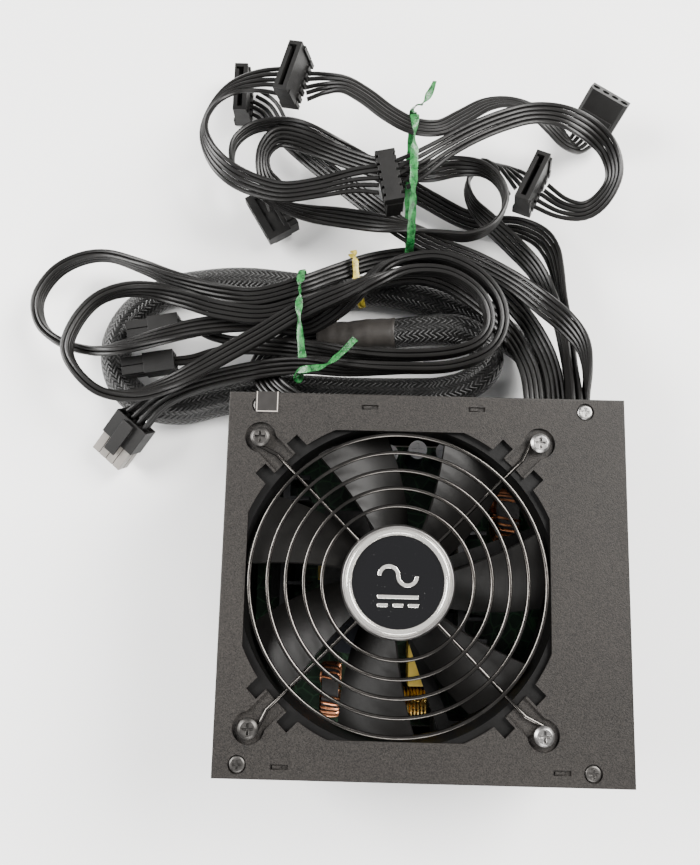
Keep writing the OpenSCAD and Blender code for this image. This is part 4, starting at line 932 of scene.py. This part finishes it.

# ---- electrolytic capacitors ----
# Drawn aluminium cans in dark shrunk sleeves, with a cross-shaped vent scored in the top.
# The large one smooths the mains side. The small ones smooth the outputs and have bare tops.
# The small cans' bare tops are near white and barely metallic: a painted glint, standing in for their bright
# reflection of the light.
aluminium_painted_glint = Look("aluminium_painted_glint", Metallic=0.1, Roughness=0.3)
aluminium_grain = aluminium_painted_glint.noise(800, 3)
aluminium_painted_glint.feed("Base Color", aluminium_painted_glint.mixed(aluminium_grain,
                                                       (0.78, 0.78, 0.79), (0.95, 0.95, 0.96)))
aluminium_painted_glint.feed("Roughness", 0.22 + aluminium_grain * 0.2)
can_sleeve = Look("capacitor_sleeve", Roughness=0.35)
can_shade = can_sleeve.noise(40, 2)
can_sleeve.feed("Base Color", can_sleeve.mixed(can_shade, (0.010, 0.012, 0.020), (0.022, 0.026, 0.042)))
can_sleeve.feed("Roughness", 0.28 + can_sleeve.noise(300, 3) * 0.2)
for node, slot in (("bulk_capacitor", "capacitor_sleeve"), ("output_capacitors", "capacitor_silver")):
    bm = softened(node, 0.35 * MM)
    for face in bm.faces:
        face.material_index = int(face.normal.z > 0.75 and node == "output_capacitors")
    cans = place_piece(node + "_cans", bm, [can_sleeve, aluminium_painted_glint])
    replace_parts(cans, node)

# ---- toroidal chokes ----
# Round enamelled copper wire wound by hand through powdered-iron rings, which stand on edge on the board.
# The turns bunch up inside the ring and fan out round it.
dress(ferrite, "output_toroid", "filter_core")


def toroid_turns(name, node, centre, inner, outer, width, turns, wire):
    """One closed loop of wire for each turn, hugging the ring's section, with a slight lean."""
    bm = bmesh.new()
    bm.loops.layers.uv.new("along")
    chance = random.Random(len(name))
    half_wide = (width + wire) / 2 * MM
    half_deep = ((outer - inner) + wire) / 2 * MM
    mid = (inner + outer) / 2 * MM
    for turn in range(turns):
        spin = math.radians(turn * 330 / turns + 12 + chance.uniform(-1.5, 1.5))
        lean = math.radians(4)
        centres, wides, thicks = [], [], []
        for k in range(25):
            a = math.tau * k / 24
            x = half_wide * math.copysign(abs(math.cos(a)) ** 0.45, math.cos(a))
            r = mid + half_deep * math.copysign(abs(math.sin(a)) ** 0.45, math.sin(a))
            tilt = spin + lean * x / half_wide
            outward = Vector((0, -math.sin(tilt), math.cos(tilt)))
            centres.append(Vector(centre) * MM + Vector((x, 0, 0)) + outward * r)
            wides.append(Vector((0, math.cos(tilt), math.sin(tilt))))
            thicks.append((Vector((math.cos(a), 0, 0)) + outward * math.sin(a)).normalized())
        add_tube(bm, centres, wides, thicks, wire * MM / 2, 6)
    winding = place_piece(name, bm, enamel)
    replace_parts(winding, node)


BOARD_TOP = board_top / MM
toroid_turns("output_choke_turns", "output_winding", (40, 30, BOARD_TOP + 14), 6, 11, 9, 26, 1.1)
toroid_turns("filter_choke_turns", "filter_winding", (-35, -46, BOARD_TOP + 13), 6, 10.5, 7, 24, 1.1)

# ---- rod choke ----
# Gold-coloured enamelled wire wound in one layer on a black moulded bobbin.
# The bobbin's two flat end cheeks stand on the board.
gold_enamel = Look("gold_enamel", Metallic=1.0, Roughness=0.25)
gold_shade = gold_enamel.noise(300, 3)
gold_enamel.feed("Base Color", gold_enamel.mixed(gold_shade, (0.48, 0.28, 0.05), (0.85, 0.60, 0.20)))
gold_enamel.feed("Roughness", 0.16 + gold_shade * 0.2)
ROD_CENTRE = Vector((1, -51, BOARD_TOP + 8)) * MM
ROD_TURNS = 8
RINGS_PER_TURN = 20
ROD_RINGS = ROD_TURNS * RINGS_PER_TURN
bm = bmesh.new()
bm.loops.layers.uv.new("along")
centres, wides, thicks = [], [], []
for k in range(ROD_RINGS + 1):
    a = math.tau * k / RINGS_PER_TURN
    spoke = Vector((0, math.cos(a), math.sin(a)))
    centres.append(ROD_CENTRE + Vector((lerp(-6.0, 6.0, k / ROD_RINGS) * MM, 0, 0)) + spoke * 5.5 * MM)
    wides.append(Vector((1, 0, 0)))
    thicks.append(spoke)
add_tube(bm, centres, wides, thicks, 0.72 * MM, 8)
rod_coil = place_piece("rod_choke_coil", bm, gold_enamel)
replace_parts(rod_coil, "gold_choke")
bm = bmesh.new()
rod = bmesh.ops.create_cone(bm, cap_ends=True, segments=32, radius1=4.6 * MM, radius2=4.6 * MM, depth=15 * MM)
bmesh.ops.rotate(bm, verts=rod["verts"], cent=(0, 0, 0), matrix=Euler((0, math.radians(90), 0)).to_matrix())
bmesh.ops.translate(bm, verts=rod["verts"], vec=ROD_CENTRE)
for side in (-1, 1):
    cheek = bmesh.ops.create_cube(bm, size=1)
    bmesh.ops.scale(bm, verts=cheek["verts"], vec=Vector((2, 9, 13)) * MM)
    bmesh.ops.translate(bm, verts=cheek["verts"], vec=ROD_CENTRE + Vector((side * 8.2, 0, -1.5)) * MM)
place_piece("rod_choke_bobbin", bm, plug_nylon)

# ---- filter capacitors ----
# Two film capacitors in moulded yellow boxes and a round one dipped in blue lacquer.
# They are soldered to the board beside the inlet, and hold noise back from the mains.
blue_dip = Look("blue_dip", Roughness=0.3)
blue_dip.feed("Base Color", blue_dip.mixed(blue_dip.noise(90, 2), (0.01, 0.03, 0.16), (0.02, 0.06, 0.26)))
box_yellow = Look("box_yellow", Roughness=0.45)
box_shade = box_yellow.noise(70, 3)
box_yellow.feed("Base Color", box_yellow.mixed(box_shade, (0.52, 0.36, 0.05), (0.70, 0.52, 0.10)))
bm = softened("filter_capacitors", 0.5 * MM)
for face in bm.faces:
    face.material_index = int(face.calc_center_median().x > 38 * MM)
filter_blocks = place_piece("filter_blocks", bm, [box_yellow, blue_dip])
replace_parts(filter_blocks, "filter_capacitors")

# ---- fan lead ----
# A thin two-wire lead in the same black vinyl as the output cables.
# It runs from the fan's motor board down to its header on the main board.
dress(vinyl, "fan_lead")

# ---- floor and light ----
# The unit stands on a plain white table, lit by three large soft lights from the sides and the front.
# They stand low enough that the flat top doesn't mirror them, and it stays dark.
table_look = Look("white_table", Roughness=0.6)
table_shade = table_look.noise(3, 2)
table_look.feed("Base Color", table_look.mixed(table_shade, (0.86, 0.86, 0.855), (0.90, 0.90, 0.895)))
bm = bmesh.new()
bmesh.ops.create_grid(bm, x_segments=1, y_segments=1, size=2.5)
floor_mesh = bpy.data.meshes.new("table_top")
bm.to_mesh(floor_mesh)
bm.free()
floor_mesh.materials.append(table_look.material)
floor = bpy.data.objects.new("table_top", floor_mesh)
floor.location.z = -0.0002
bpy.context.scene.collection.objects.link(floor)

world = bpy.data.worlds.new("soft_room")
world.use_nodes = True
world.node_tree.nodes["Background"].inputs["Color"].default_value = (0.93, 0.94, 0.96, 1)
world.node_tree.nodes["Background"].inputs["Strength"].default_value = 0.5
bpy.context.scene.world = world

SOFTBOX_SIDE = 0.8
LIGHT_AIM = Vector((0, 0.05, 0))
for name, spot, watts, colour in (
        ("window_light", (0.85, 0.5, 1.0), 62, (1.0, 0.985, 0.96)),
        ("room_light", (-1.15, 0.3, 0.8), 58, (1.0, 0.99, 0.975)),
        ("fill_light", (0.1, -1.25, 0.8), 26, (1.0, 0.99, 0.98))):
    light = bpy.data.lights.new(name, "AREA")
    light.shape = "SQUARE"
    light.size = SOFTBOX_SIDE
    light.energy = watts
    light.color = colour
    softbox = bpy.data.objects.new(name, light)
    softbox.location = spot
    softbox.rotation_euler = (LIGHT_AIM - Vector(spot)).to_track_quat("-Z", "Y").to_euler()
    bpy.context.scene.collection.objects.link(softbox)
